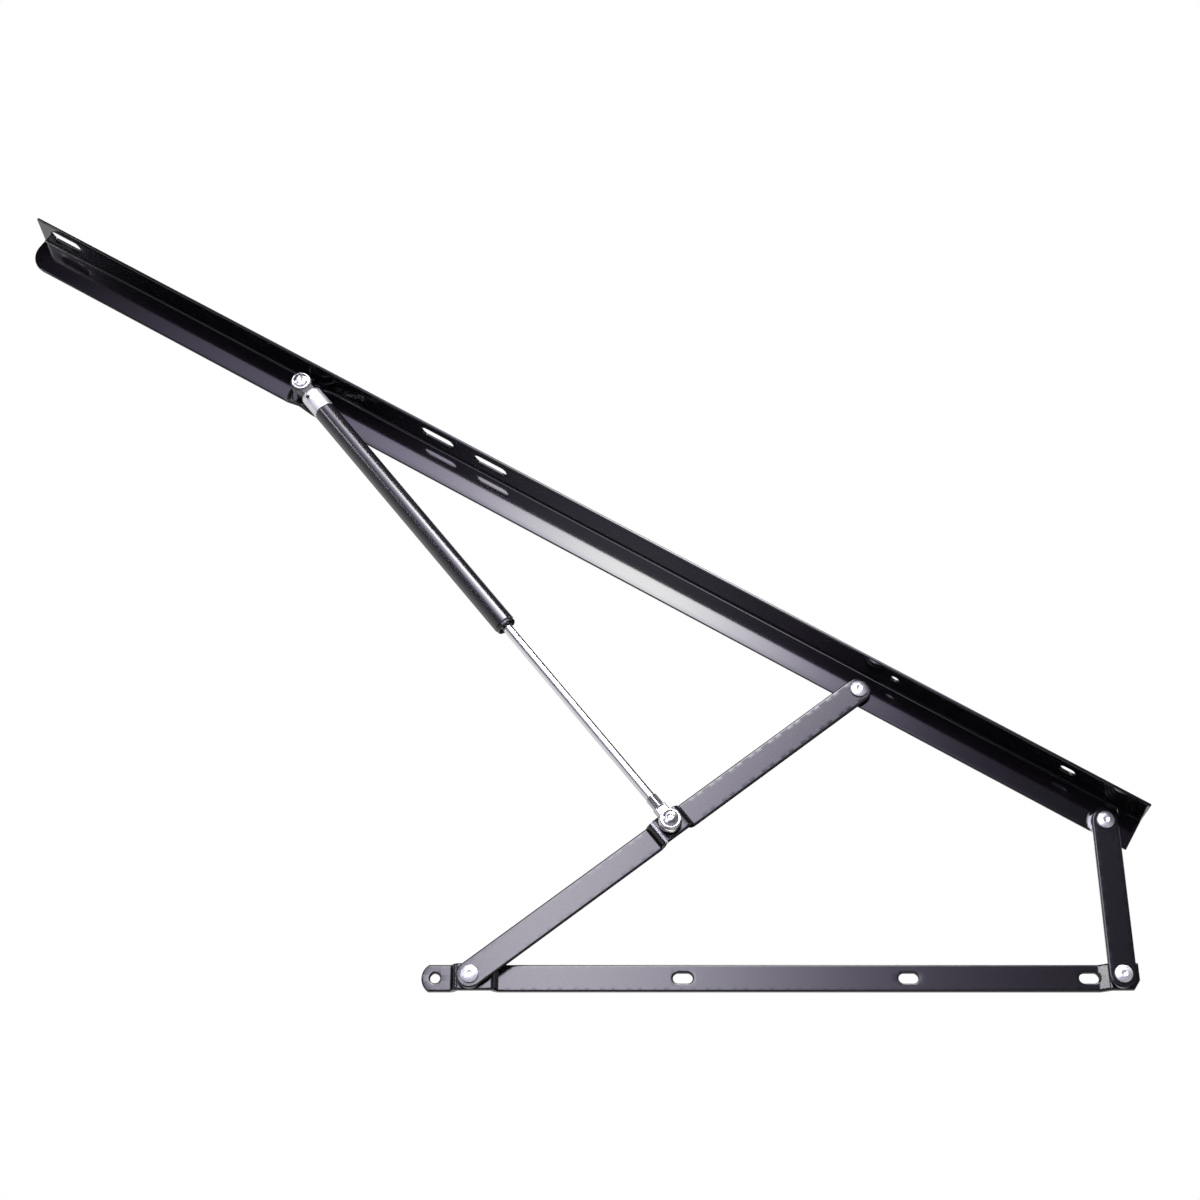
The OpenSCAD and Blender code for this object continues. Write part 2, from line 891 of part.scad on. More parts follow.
module rod_seal() {
    color(black_plastic)
        place_on_spring(seal_start)
            along_spring()
                ring(tube_bore, rod_diameter + 2 * running_clearance, seal_length);
}

// Gas spring: rod and what is fixed to it
module gas_rod() {
    piston_end = piston_start + piston_length;
    color(bright_steel)
        place_on_spring(piston_end)
            along_spring() {
                cylinder(h = rod_end - piston_end, d = rod_diameter);
                translate([0, 0, nut_start - piston_end])
                    cylinder(h = rod_end - nut_start + lower_neck_length, d = rod_end_diameter);
            }
}

module piston() {
    diameter = tube_bore - 2 * running_clearance;
    groove = (piston_length - piston_groove_width) / 2;
    color(plated)
        place_on_spring(piston_start)
            along_spring()
                difference() {
                    ring(diameter, rod_end_diameter, piston_length);
                    translate([0, 0, groove])
                        ring(tube_bore + cut_past, diameter - 2 * piston_groove_depth, piston_groove_width);
                }
}

module piston_ring() {
    diameter = tube_bore - 2 * running_clearance;
    groove = (piston_length - piston_groove_width) / 2;
    color(black_plastic)
        place_on_spring(piston_start + groove)
            along_spring()
                ring(diameter, diameter - 2 * piston_groove_depth, piston_groove_width);
}

module piston_nut() {
    color(plated)
        place_on_spring(nut_start)
            along_spring()
                difference() {
                    linear_extrude(piston_nut_length)
                        hexagon(piston_nut_width);
                    translate([0, 0, -cut_past])
                        cylinder(h = piston_nut_length + 2 * cut_past, d = rod_end_diameter);
                }
}

module lower_eye() {
    color(plated)
        place_on_spring(spring_length)
            mirror([1, 0, 0])
                difference() {
                    union() {
                        eye_body(lower_neck_start);
                        translate([lower_neck_start, 0, 0])
                            along_spring()
                                linear_extrude(lower_neck_length)
                                    hexagon(lower_neck_width);
                    }
                    tight_hole(bush_diameter, -eye_thickness / 2, eye_thickness / 2);
                    translate([lower_neck_start, 0, 0])
                        along_spring()
                            cylinder(h = lower_neck_length + cut_past, d = rod_end_diameter);
                }
}

module lower_eye_bush() {
    color(bright_steel)
        place_on_spring(spring_length)
            eye_bush();
}

module lower_bolt() {
    color(bright_steel)
        place(lower_spring_pivot, open_angle) {
            bolt_head();
            translate([0, 0, eye_back])
                cylinder(h = bolt_head_back - eye_back, d = bolt_diameter);
        }
}

module lower_bolt_washer() {
    color(plated)
        place(lower_spring_pivot)
            bolt_washer();
}

base_rail();
base_long_rivet();
base_long_washer();
base_short_rivet_tail();
long_arm();
lower_collar();
top_rail();
rail_long_rivet();
rail_long_washer();
rail_short_rivet();
upper_bolt();
upper_bolt_washer();
upper_spacer();
upper_nut();
short_arm();
base_short_rivet();
base_short_washer();
gas_tube();
tube_end_plug();
end_sleeve();
upper_eye();
upper_eye_bush();
rod_guide();
rod_seal();
gas_rod();
piston();
piston_ring();
piston_nut();
lower_eye();
lower_eye_bush();
lower_bolt();
lower_bolt_washer();
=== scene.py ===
"""Looks of a bed lift mechanism for one side of a storage bed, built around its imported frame.

Every piece that shows is a surface worked out with numpy, in millimetres, in the drawing plane of
the linkage: x along the piece, y across it and z forward from the face that lies on the side
board. It is then turned into its place in the row frame, in metres, and rides on its body there.
Pieces inside the gas spring keep the CAD's shape and get a finish.
"""

import json
import math
from types import SimpleNamespace

import bmesh
import bpy
import numpy as np
from bpy.props import FloatProperty, FloatVectorProperty, IntProperty, PointerProperty
from bpy.types import Operator, Panel, PropertyGroup
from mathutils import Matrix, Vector, geometry

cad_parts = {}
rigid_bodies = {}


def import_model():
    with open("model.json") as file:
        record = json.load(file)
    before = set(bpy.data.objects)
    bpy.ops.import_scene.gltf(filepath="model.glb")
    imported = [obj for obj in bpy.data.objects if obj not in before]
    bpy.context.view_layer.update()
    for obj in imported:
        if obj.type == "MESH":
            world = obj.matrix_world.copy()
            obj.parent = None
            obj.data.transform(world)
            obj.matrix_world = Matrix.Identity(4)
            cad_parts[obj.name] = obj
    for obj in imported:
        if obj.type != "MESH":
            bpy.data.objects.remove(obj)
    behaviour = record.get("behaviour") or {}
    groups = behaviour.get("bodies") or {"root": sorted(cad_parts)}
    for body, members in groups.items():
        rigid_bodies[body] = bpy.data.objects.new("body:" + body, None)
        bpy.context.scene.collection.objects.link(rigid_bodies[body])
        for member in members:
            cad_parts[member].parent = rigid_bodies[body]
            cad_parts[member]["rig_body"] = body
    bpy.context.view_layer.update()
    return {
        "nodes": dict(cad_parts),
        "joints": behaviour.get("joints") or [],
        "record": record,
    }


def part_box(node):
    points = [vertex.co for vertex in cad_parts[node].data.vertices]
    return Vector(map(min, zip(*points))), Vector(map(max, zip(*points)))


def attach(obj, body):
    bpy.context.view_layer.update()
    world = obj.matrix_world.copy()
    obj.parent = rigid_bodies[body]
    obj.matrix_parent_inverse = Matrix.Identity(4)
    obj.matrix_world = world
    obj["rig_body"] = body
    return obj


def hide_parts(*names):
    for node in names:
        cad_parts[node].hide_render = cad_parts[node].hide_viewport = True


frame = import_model()

bl_info = {
    "name": "Bed lift mechanism",
    "version": (1, 0, 0),
    "blender": (4, 5, 0),
    "location": "3D Viewport > Sidebar > Bed Lift",
    "description": "Builds the visible pieces of a bed lift mechanism around its packed frame",
    "category": "Object",
}

# Places and layers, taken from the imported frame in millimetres
METRES = 0.001
JOINTS = {joint["name"]: joint for joint in frame["joints"]}
SLOT_OF = {part["node"]: part["material_slot"] for part in frame["record"]["subparts"]}


def pivot_of_joint(name):
    """Place of a joint in the plane of the linkage."""
    x, _, z = JOINTS[name]["pos_m"]
    return np.array([x, z]) / METRES


def pivot_of_node(name):
    """Middle of a round node in the plane of the linkage."""
    low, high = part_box(name)
    return np.array([low.x + high.x, low.z + high.z]) / 2 / METRES


def layer(name):
    """Distances of a node's back and front from the mounting face."""
    low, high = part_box(name)
    return -high.y / METRES, -low.y / METRES


def way(start, end):
    """Angle of the line from start to end."""
    return math.atan2(end[1] - start[1], end[0] - start[0])


LONG_BASE = pivot_of_joint("fold")
LONG_RAIL = pivot_of_joint("rail_turn")
SHORT_RAIL = pivot_of_joint("short_arm_turn")
SPRING_RAIL = pivot_of_joint("spring_turn")
SHORT_BASE = pivot_of_node("base_short_rivet")
SPRING_ARM = pivot_of_node("lower_bolt")
LONG_WAY = way(LONG_BASE, LONG_RAIL)
SHORT_WAY = way(SHORT_BASE, SHORT_RAIL)
RAIL_WAY = way(LONG_RAIL, SHORT_RAIL)
SPRING_WAY = way(SPRING_RAIL, SPRING_ARM)
LONG_LENGTH = math.dist(LONG_BASE, LONG_RAIL)
SHORT_LENGTH = math.dist(SHORT_BASE, SHORT_RAIL)
RAIL_SPAN = math.dist(LONG_RAIL, SHORT_RAIL)
SPRING_LENGTH = math.dist(SPRING_RAIL, SPRING_ARM)
SPRING_ON_RAIL = math.dist(SPRING_RAIL, LONG_RAIL)
SPRING_ON_ARM = math.dist(LONG_BASE, SPRING_ARM)
ARM_BACK, ARM_FRONT = layer("short_arm")
LAND_FRONT = layer("base_rail")[1]
MIDDLE_FRONT = layer("long_arm")[1]
RAIL_BACK, RAIL_FRONT = layer("top_rail")
EYE_BACK, EYE_FRONT = layer("upper_eye_bush")
HEAD_BACK = layer("upper_bolt_washer")[1]
HEAD_FRONT = layer("upper_bolt")[1]
THICKNESS = ARM_FRONT - ARM_BACK
LAND_BACK = LAND_FRONT - THICKNESS
SPRING_AXIS = (EYE_BACK + EYE_FRONT) / 2
LAND_HEIGHT = ARM_BACK - LAND_FRONT

# Lower bar: steps from the pivot beside them, slots from the tab's hole, and the cut corner
LEFT_STEPS = (-16.5, -12.5, 20.0, 24.0)
RIGHT_STEP = (-18.5, -9.5)
BAR_SLOTS = (225.0, 430.0, 594.0)
END_CUT = (6.0, 9.0)

# Top rail: slots and hole from the long arm's pivot, and its two pressings
RAIL_SLOTS = (-976.0, -498.0, -434.0)
RAIL_HOLE = 26.0
FOOT_SLOT = 208.0
BOSS_HEIGHT = 6.0
BOSS_RADII = (12.0, 18.0)
LAND_RADII = (12.8, 15.8)

# End sleeve: rounding of its ends, and the vent's place along it and, in degrees, round it
SLEEVE_EDGES = (4.0, 1.0)
VENT_PLACE = 6.5
VENT_ANGLE = 37.0

# Painted highlight bands, pale paint that stands in for light on a pressed bend: half the band's width,
# its place from a step or round the land, and its reach
BAND_HALF = 1.5
STEP_BAND = 1.2
STEP_REACH = 15.0
LAND_BAND = 14.0
LAND_ANGLE = math.radians(190.0)
LAND_REACH = 10.0

# Most space between a mesh's points, along the cut edges and over the faces
BAR_SPACING = (12.0, 8.0)
RAIL_SPACING = (15.0, 12.0)

# Angle past which an edge stays sharp, and how near two points are before they become one
CREASE = math.radians(35.0)
DOUBLES = 0.004
SLIVERS = 0.002

# Play of the holes, and the gap between the halves of the rivet that the frame leaves open
ARM_PLAY = 0.1
WASHER_PLAY = 0.4
RIVET_GAP = 0.3

# Stage in metres: camera, softbox by its left, right, y, foot and head, and half the floor
CAMERA_PLACE = (0.1498, -1.7621, -0.4989)
CAMERA_TURN = (math.radians(116.676), 0.0, 0.0)
SOFTBOX_FRAME = (-2.4, 1.9, -2.0, -0.9, 2.6)
FLOOR_SIDE = 8.0

# Pale things beside the softbox: middle, brightness as a share of the softbox, and reach
SOFTBOX_SPOTS = (
    ((-0.75, -2.0, -0.11), 0.38, 0.7),
    ((-0.62, -2.0, 1.0), 0.17, 0.7),
    ((-2.06, -2.0, 1.04), 1.8, 0.42),
    ((-0.45, -2.0, 1.85), 0.12, 0.85),
    ((0.84, -2.0, 2.4), 1.1, 0.5),
)

# Window to the left, white table low in front, pale floor behind: direction, start and brightness
ROOM_GLOWS = (
    ((-0.953, 0.112, -0.28), 0.6, 1.05),
    ((0.5, -0.6, -0.62), 0.6, 1.0),
    ((-0.1, 0.7, -0.7), 0.76, 2.6),
)

# Fill lights: name, energy in watts, size and place, and the point that both face
FILL_LIGHTS = (
    ("fill_behind", 14.0, 1.6, (0.6, 2.2, 1.6)),
    ("fill_right", 10.0, 1.2, (2.4, -0.6, 1.3)),
)
FILL_TARGET = (0.1, 0.0, 0.3)


def linear(text):
    """Linear colour of an sRGB hex value."""
    parts = np.array([int(text[k : k + 2], 16) for k in (1, 3, 5)]) / 255
    bright = ((parts + 0.055) / 1.055) ** 2.4
    return tuple(np.where(parts <= 0.04045, parts / 12.92, bright).tolist())


# Settings that a user would change
def length_setting(name, description, size):
    """Length given in millimetres, which Blender keeps in metres."""
    return FloatProperty(
        name=name, description=description, default=size * METRES, min=0.0, precision=5, unit="LENGTH"
    )


def colour_setting(name, description, text):
    """Colour given as an sRGB hex value."""
    return FloatVectorProperty(
        name=name, description=description, default=linear(text), subtype="COLOR", min=0.0, max=1.0
    )


class BarSettings(PropertyGroup):
    """Sizes of the lower bar and the two arms."""

    width: length_setting("Width", "Width of the flat bars", 25.0)
    edge: length_setting("Edge rounding", "Rounding of the rolled bars' edges", 1.5)
    bend: length_setting("Bend radius", "Inner radius of the bends", 1.0)
    soft_bend: length_setting("Softer bend", "Added to the bends of the long arm's middle", 2.5)
    tab_hole: length_setting("Tab hole", "Diameter of the hole in the tab", 9.0)
    tab_end: length_setting("Tab end", "Radius of the tab's curved end", 15.0)
    slot_length: length_setting("Slot length", "Length of the lower bar's slots", 18.0)
    slot_width: length_setting("Slot width", "Width of the lower bar's slots", 9.5)
    press_run: length_setting("Step length", "Length of the long arm's sloped steps", 3.0)
    press_below: length_setting("Step below", "Pressed middle below the gas spring's pivot", 14.0)
    press_above: length_setting("Step above", "Pressed middle above the gas spring's pivot", 15.5)


class RailSettings(PropertyGroup):
    """Sizes of the top rail."""

    left: length_setting("Left length", "Length to the left of the long arm's pivot", 1011.0)
    right: length_setting("Right length", "Length to the right of the long arm's pivot", 289.0)
    thickness: length_setting("Sheet", "Thickness of the sheet", 3.0)
    side: length_setting("Side flange", "Outer height of the side flange", 36.5)
    drop: length_setting("Pivot drop", "Pivots below the underside of the upper flange", 20.0)
    bend: length_setting("Bend radius", "Inner radius of the bend between the flanges", 2.0)
    edge: length_setting("Edge rounding", "Rounding of the cut edges under their paint", 1.2)
    corner: length_setting("Corner", "Radius of the side flange's left corner", 24.0)
    slot_line: length_setting("Slot line", "Slots in front of the rail's back", 24.0)
    slot_length: length_setting("Slot length", "Length of the three long slots", 38.0)
    slot_width: length_setting("Slot width", "Width of the three long slots", 12.0)
    hole: length_setting("Hole", "Diameter of the round hole", 8.0)
    foot_length: length_setting("Foot slot length", "Length of the short slot", 15.0)
    foot_width: length_setting("Foot slot width", "Width of the short slot", 9.5)


class SpringSettings(PropertyGroup):
    """Sizes of the gas spring, with places from the middle of its upper eye."""

    tube: length_setting("Tube", "Outer diameter of the tube", 22.0)
    tube_wall: length_setting("Tube wall", "Thickness of the tube's wall", 1.5)
    tube_start: length_setting("Tube start", "Place of the tube's upper end", 42.0)
    tube_length: length_setting("Tube length", "Length of the tube", 312.5)
    rod: length_setting("Rod", "Diameter of the piston rod", 10.0)
    rod_start: length_setting("Rod start", "Place of the rod's shoulder in the tube", 336.0)
    rod_end: length_setting("Rod end", "From the rod's end to the lower eye's middle", 28.5)
    sleeve: length_setting("Sleeve", "Outer diameter of the end sleeve", 22.0)
    sleeve_bore: length_setting("Sleeve bore", "Diameter of the stud's hole in the sleeve", 8.0)
    sleeve_start: length_setting("Sleeve start", "Place of the sleeve's upper end", 15.5)
    sleeve_length: length_setting("Sleeve length", "Length of the end sleeve", 26.5)
    vent: length_setting("Vent", "Diameter of the vent hole in the sleeve", 4.5)
    eye: length_setting("Eye", "Outer diameter of the eyes", 22.0)
    eye_bore: length_setting("Eye bore", "Diameter of the hole in the eyes", 12.0)
    upper_neck: length_setting("Upper neck", "Width of the upper eye's neck", 14.0)
    upper_edge: length_setting("Upper edge", "Rounding of the upper eye's edges", 1.4)
    lower_neck: length_setting("Lower neck", "Width of the lower eye's neck", 13.0)
    lower_reach: length_setting("Lower reach", "Length of the lower eye's neck from its middle", 16.5)
    lower_edge: length_setting("Lower edge", "Rounding of the lower eye's edges", 2.6)
    hexagon: length_setting("Hexagon", "Width across the flats of the hexagonal neck", 10.5)
    hexagon_length: length_setting("Hexagon length", "Length of the hexagonal neck", 12.3)


class FastenerSettings(PropertyGroup):
    """Sizes of the rivets, bolts, washers and the collar."""

    shank: length_setting("Shank", "Diameter of rivets and bolts", 8.0)
    rivet_head: length_setting("Rivet head", "Diameter of the rivets' front heads", 16.5)
    rivet_height: length_setting("Rivet height", "Height of the rivets' front heads", 4.0)
    hollow: length_setting("Hollow", "Diameter of the hollow in the rivets' front heads", 5.8)
    hollow_depth: length_setting("Hollow depth", "Depth of that hollow", 1.1)
    rivet_tail: length_setting("Rivet tail", "Diameter of the rivets' rear heads", 14.0)
    tail_height: length_setting("Tail height", "Height of the rivets' rear heads", 3.5)
    arm_washer: length_setting("Arm washer", "Outer diameter of the washers under the arms", 19.0)
    bolt_head: length_setting("Bolt head", "Diameter of the bolts' heads", 15.0)
    bolt_rim: length_setting("Bolt rim", "Height of the upright side of the bolts' heads", 2.2)
    socket: length_setting("Socket", "Width across the flats of the bolts' sockets", 5.0)
    socket_depth: length_setting("Socket depth", "Depth of the bolts' sockets", 2.4)
    bolt_washer: length_setting("Bolt washer", "Outer diameter of the bolts' washers", 18.5)
    spacer: length_setting("Spacer", "Outer diameter of the spacer", 15.0)
    nut: length_setting("Nut", "Width across the flats of the nut", 13.0)
    collar: length_setting("Collar", "Width across the flats of the collar", 17.0)
    turns: IntProperty(name="Steps", description="Steps round a turned piece", default=72, min=12)


class FinishSettings(PropertyGroup):
    """Colours of the finishes."""

    bar: colour_setting("Bars", "Satin powder coat of the flat bars", "#0b0a0c")
    rail: colour_setting("Rail", "Gloss powder coat of the top rail", "#0a090b")
    tube: colour_setting("Tube", "Enamel of the gas spring's tube", "#100e13")
    zinc: colour_setting("Zinc", "Zinc plating", "#d2d3d6")
    nickel: colour_setting("Nickel", "Nickel plating", "#c6c5c5")
    chrome: colour_setting("Chrome", "Hard chrome of the rod", "#c9c9cc")
    blackened: colour_setting("Blackened steel", "Turned fittings", "#3a383c")
    nylon: colour_setting("Nylon", "Moulded nylon of the upper eye", "#161517")
    aluminium: colour_setting("Aluminium", "Turned piston", "#c4c5c8")
    rubber: colour_setting("Rubber", "Moulded seal", "#161616")
    # Painted highlight: this pale colour stands in for light caught by the pressed bends
    highlight_band_colour: colour_setting("Phosphate", "Layer under paint that is rubbed thin", "#b9b8bb")


class StageSettings(PropertyGroup):
    """Camera, light and floor."""

    lens: FloatProperty(
        name="Lens", description="Focal length of the camera", default=59.3, min=1.0, unit="CAMERA"
    )
    floor: FloatProperty(
        name="Floor", description="Height of the floor", default=-0.95, unit="LENGTH"
    )
    softbox: FloatProperty(
        name="Softbox", description="Brightest radiance of the softbox", default=19.0, min=0.0
    )
    softbox_tint: colour_setting("Softbox tint", "Faint violet of its dim sides", "#e2d6ff")


PREFIX = "bed_lift_"
SETTINGS = {
    "bars": BarSettings,
    "rail": RailSettings,
    "spring": SpringSettings,
    "fasteners": FastenerSettings,
    "finishes": FinishSettings,
    "stage": StageSettings,
}


def settings(group):
    """One group of the scene's settings, with its lengths in millimetres."""
    kept = getattr(bpy.context.scene, PREFIX + group)
    values = {}
    for name in SETTINGS[group].__annotations__:
        value = getattr(kept, name)
        is_length = kept.bl_rna.properties[name].unit == "LENGTH"
        values[name] = round(value / METRES, 4) if is_length else value
    return SimpleNamespace(**values)


# Plane curves
def unit(vectors):
    """The vectors at length 1."""
    return vectors / np.linalg.norm(vectors, axis=-1, keepdims=True)


def left_of(vectors):
    """The vectors turned a quarter to the left."""
    return np.stack([-vectors[..., 1], vectors[..., 0]], -1)


def distinct(points):
    """The points without repeats that follow each other."""
    far = np.linalg.norm(np.diff(points, axis=0), axis=1) > 1e-6
    return points[np.concatenate([[True], far])]


def rounded(points, radii, steps=6, closed=True):
    """A line whose corners are arcs. With a and b leading from corner p to its neighbours, h half
    the angle between them and r the radius, the arc turns about p + r / sin(h) along their
    bisector, from p + a r / tan(h) to p + b r / tan(h)."""
    p = np.asarray(points, float)
    before, after = np.roll(p, 1, 0), np.roll(p, -1, 0)
    if not closed:
        before[0], after[-1] = 2 * p[0] - p[1], 2 * p[-1] - p[-2]
    r = np.broadcast_to(np.asarray(radii, float), len(p))[:, None]
    a, b = unit(before - p), unit(after - p)
    half = np.arccos(np.clip((a * b).sum(-1, keepdims=True), -1, 1)) / 2
    middle = (a + b) / np.maximum(np.linalg.norm(a + b, axis=1, keepdims=True), 1e-9)
    centre = p + middle * r / np.sin(half)
    reach = r / np.tan(half)
    turn = np.pi - 2 * half
    share = np.linspace(0, 1, steps + 1)[None]
    safe = np.where(turn < 1e-6, 1, np.sin(turn))
    first = np.where(turn < 1e-6, 1 - share, np.sin((1 - share) * turn) / safe)
    last = np.where(turn < 1e-6, share, np.sin(share * turn) / safe)
    bow = first[..., None] * (p + a * reach - centre)[:, None]
    bow = centre[:, None] + bow + last[..., None] * (p + b * reach - centre)[:, None]
    return distinct(bow.reshape(-1, 2))


def arc(centre, radius, start, end, steps):
    """Points of an arc between two angles in degrees."""
    angle = np.radians(np.linspace(start, end, steps + 1))
    return np.asarray(centre) + radius * np.stack([np.cos(angle), np.sin(angle)], -1)


def hole(centre, diameter, steps=48):
    """A round hole, gone round clockwise."""
    return arc(centre, diameter / 2, 0, -360, steps)[:-1]


def slot_hole(centre, length, width, steps=20):
    """A slot with round ends along x, gone round clockwise."""
    shift = np.array([(length - width) / 2, 0.0])
    right = arc(centre + shift, width / 2, 90, -90, steps)
    left = arc(centre - shift, width / 2, -90, -270, steps)
    return np.concatenate([right, left])


def dense(loop, step, stops=(), axis=0):
    """A closed loop with a point at least every step along it, and one wherever it crosses a stop
    on the given axis."""
    ends = np.roll(loop, -1, 0)
    length = np.linalg.norm(ends - loop, axis=1)
    start = np.concatenate([[0], np.cumsum(length)])
    marks = [start[:-1], np.arange(0, start[-1], step)]
    if len(stops):
        low, high = loop[:, axis, None], ends[:, axis, None]
        share = (np.asarray(stops)[None] - low) / np.where(high == low, np.inf, high - low)
        marks.append((start[:-1, None] + share * length[:, None])[(share > 0) & (share < 1)])
    marks = np.unique(np.round(np.concatenate(marks), 2))
    marks = marks[marks < start[-1] - 0.02]
    closed = np.concatenate([loop, loop[:1]])
    return np.stack([np.interp(marks, start, closed[:, k]) for k in (0, 1)], -1)


def miter(loop):
    """Where each point of a closed loop moves for one millimetre of inset: (m + n) / (1 + m.n),
    with m and n the left normals of its two edges."""
    ahead = unit(np.roll(loop, -1, 0) - loop)
    n = left_of(ahead)
    m = np.roll(n, 1, 0)
    return (m + n) / (1 + (m * n).sum(-1, keepdims=True))


def inside(points, loops):
    """Whether each point lies inside the outer loop and outside the holes: a ray to its right
    crosses the loops an odd number of times."""
    crossings = np.zeros(len(points), int)
    x, y = points[:, 0, None], points[:, 1, None]
    for loop in loops:
        ends = np.roll(loop, -1, 0)
        over = (loop[:, 1] > y) != (ends[:, 1] > y)
        rise = np.where(ends[:, 1] == loop[:, 1], np.inf, ends[:, 1] - loop[:, 1])
        meets = loop[:, 0] + (ends[:, 0] - loop[:, 0]) * (y - loop[:, 1]) / rise
        crossings += (over & (x < meets)).sum(1)
    return crossings % 2 == 1


# Surfaces, each its points and its faces in groups with as many corners
def grid_faces(rows, columns):
    """Quads of a grid of points, counted row by row, whose last column meets its first."""
    row, column = np.arange(rows - 1)[:, None], np.arange(columns)[None]
    beside = (column + 1) % columns
    corners = [row * columns + column, row * columns + beside]
    corners += [(row + 1) * columns + beside, (row + 1) * columns + column]
    return np.stack(corners, -1).reshape(-1, 4)


def joined(*surfaces):
    """One surface of several."""
    starts = np.cumsum([0] + [len(points) for points, _ in surfaces])
    groups = [faces + start for (_, some), start in zip(surfaces, starts) for faces in some]
    return np.concatenate([points for points, _ in surfaces]), groups


def rim(loop, half, edge, steps=4):
    """Side of a plate with both its edges rounded, carried round a loop: at angle a from -90 to
    90 degrees the side lies edge * (1 - cos a) inside the loop and edge * sin a past the level
    part, which reaches half - edge from the middle."""
    angle = np.radians(np.concatenate([np.linspace(-90, 0, steps), np.linspace(0, 90, steps)]))
    height = np.repeat([-1, 1], steps) * (half - edge) + edge * np.sin(angle)
    flat = loop[None] + (edge * (1 - np.cos(angle)))[:, None, None] * miter(loop)[None]
    level = np.broadcast_to(height[:, None, None], (*flat.shape[:2], 1))
    points = np.concatenate([flat, level], -1).reshape(-1, 3)
    return points, [grid_faces(2 * steps, len(loop))]


def cap(loops, spots):
    """Triangles between closed loops and through the spots: a constrained Delaunay net, less the
    triangles whose middle lies outside."""
    starts = np.cumsum([0] + [len(loop) for loop in loops])
    edges = [
        np.stack([np.arange(len(loop)), np.roll(np.arange(len(loop)), -1)], -1) + start
        for loop, start in zip(loops, starts)
    ]
    points = np.concatenate([*loops, spots])
    net = geometry.delaunay_2d_cdt(
        [Vector(point) for point in points.tolist()], np.concatenate(edges).tolist(), [], 0, 1e-5
    )
    where = np.array([tuple(point) for point in net[0]])
    triangles = np.array(net[2])
    return where, triangles[inside(where[triangles].mean(1), loops)]


def plate(outline, holes, half, edge, spots):
    """A flat plate with rounded edges: its outline anticlockwise, its holes clockwise, and spots
    where its faces get points of their own."""
    loops = [outline, *holes]
    inner = [loop + edge * miter(loop) for loop in loops]
    where, triangles = cap(inner, spots[inside(spots, inner)])
    faces = [
        (np.column_stack([where, np.full(len(where), side * half)]), [triangles[:, ::side]])
        for side in (-1, 1)
    ]
    return joined(*faces, *[rim(loop, half, edge) for loop in loops])


def turned(radii, heights, steps=72):
    """A surface of revolution round z: each row has a radius and a height, which may be one number
    or one for each angle, and turns from 0 to 360 degrees in equal steps."""
    radius, height = (np.stack([np.full(steps, row) for row in rows]) for rows in (radii, heights))
    angle = np.linspace(0, 2 * np.pi, steps, endpoint=False)
    points = np.stack([radius * np.cos(angle), radius * np.sin(angle), height], -1)
    return points.reshape(-1, 3), [grid_faces(len(radius), steps)]


def lathe(profile, steps=72):
    """Surface of revolution of a profile given as radius and height."""
    return turned(*np.asarray(profile, float).T, steps)


def closed_lathe(corners, radii, steps=72, corner_steps=4):
    """Ring turned from a closed profile with rounded corners."""
    profile = rounded(corners, radii, corner_steps)
    return lathe(np.concatenate([profile, profile[:1]]), steps)


def hexagon_radius(width, steps=72, corner=0.0):
    """Distance of a hexagon's side from its centre at each angle, with a corner at one angle."""
    angle = np.linspace(0, 2 * np.pi, steps, endpoint=False) - math.radians(corner)
    return width / 2 / np.cos(angle % (np.pi / 3) - np.pi / 6)


def moved(surface, offset):
    """The surface shifted by an offset."""
    return surface[0] + np.asarray(offset, float), surface[1]


def placed(surface, point, angle=0.0):
    """The surface turned by an angle in the plane of the linkage and moved to a point there, as
    places in the row frame in metres: (X, Y, Z) = (x, -z, y)."""
    x, y, z = surface[0].T
    cos, sin = math.cos(angle), math.sin(angle)
    points = np.stack([point[0] + x * cos - y * sin, -z, point[1] + x * sin + y * cos], -1)
    return points * METRES, surface[1]


def laid(surface, distance=0.0):
    """A surface turned about z, laid down along x at a distance, as high as the gas spring."""
    return moved((surface[0][:, [2, 0, 1]], surface[1]), (distance, 0, SPRING_AXIS))


def on_spring(surface):
    """A laid surface in its place on the gas spring, with x measured from its upper eye."""
    return placed(surface, SPRING_RAIL, SPRING_WAY)


def add_piece(name, surface, node):
    """A new object from a surface in the row frame: doubles merged, faces turned outwards and
    smoothed up to the crease angle. It stands for its node, on that node's body and slot."""
    mesh = bpy.data.meshes.new(name)
    faces = [face for group in surface[1] for face in group.tolist()]
    mesh.from_pydata(surface[0].tolist(), [], faces)
    net = bmesh.new()
    net.from_mesh(mesh)
    bmesh.ops.remove_doubles(net, verts=net.verts, dist=DOUBLES * METRES)
    bmesh.ops.dissolve_degenerate(net, edges=net.edges, dist=SLIVERS * METRES)
    bmesh.ops.recalc_face_normals(net, faces=net.faces)
    net.to_mesh(mesh)
    net.free()
    mesh.shade_smooth()
    mesh.set_sharp_from_angle(angle=CREASE)
    piece = bpy.data.objects.new(name, mesh)
    bpy.context.scene.collection.objects.link(piece)
    normals = piece.modifiers.new("level_faces", "WEIGHTED_NORMAL")
    normals.keep_sharp = True
    mesh.materials.append(finish_of(node))
    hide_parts(node)
    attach(piece, frame["nodes"][node]["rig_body"])
    return piece


# Finishes
def add(tree, kind, inputs=(), **options):
    """Adds a shader node: options are its own settings, inputs its sockets' values or what is
    linked to them, by name or number, or in their order. A node stands for its first output."""
    node = tree.nodes.new("ShaderNode" + kind)
    for name, value in options.items():
        setattr(node, name, value)
    for name, value in inputs.items() if isinstance(inputs, dict) else enumerate(inputs):
        if isinstance(value, bpy.types.Node):
            value = value.outputs[0]
        if isinstance(value, bpy.types.NodeSocket):
            tree.links.new(value, node.inputs[name])
        else:
            node.inputs[name].default_value = value
    return node


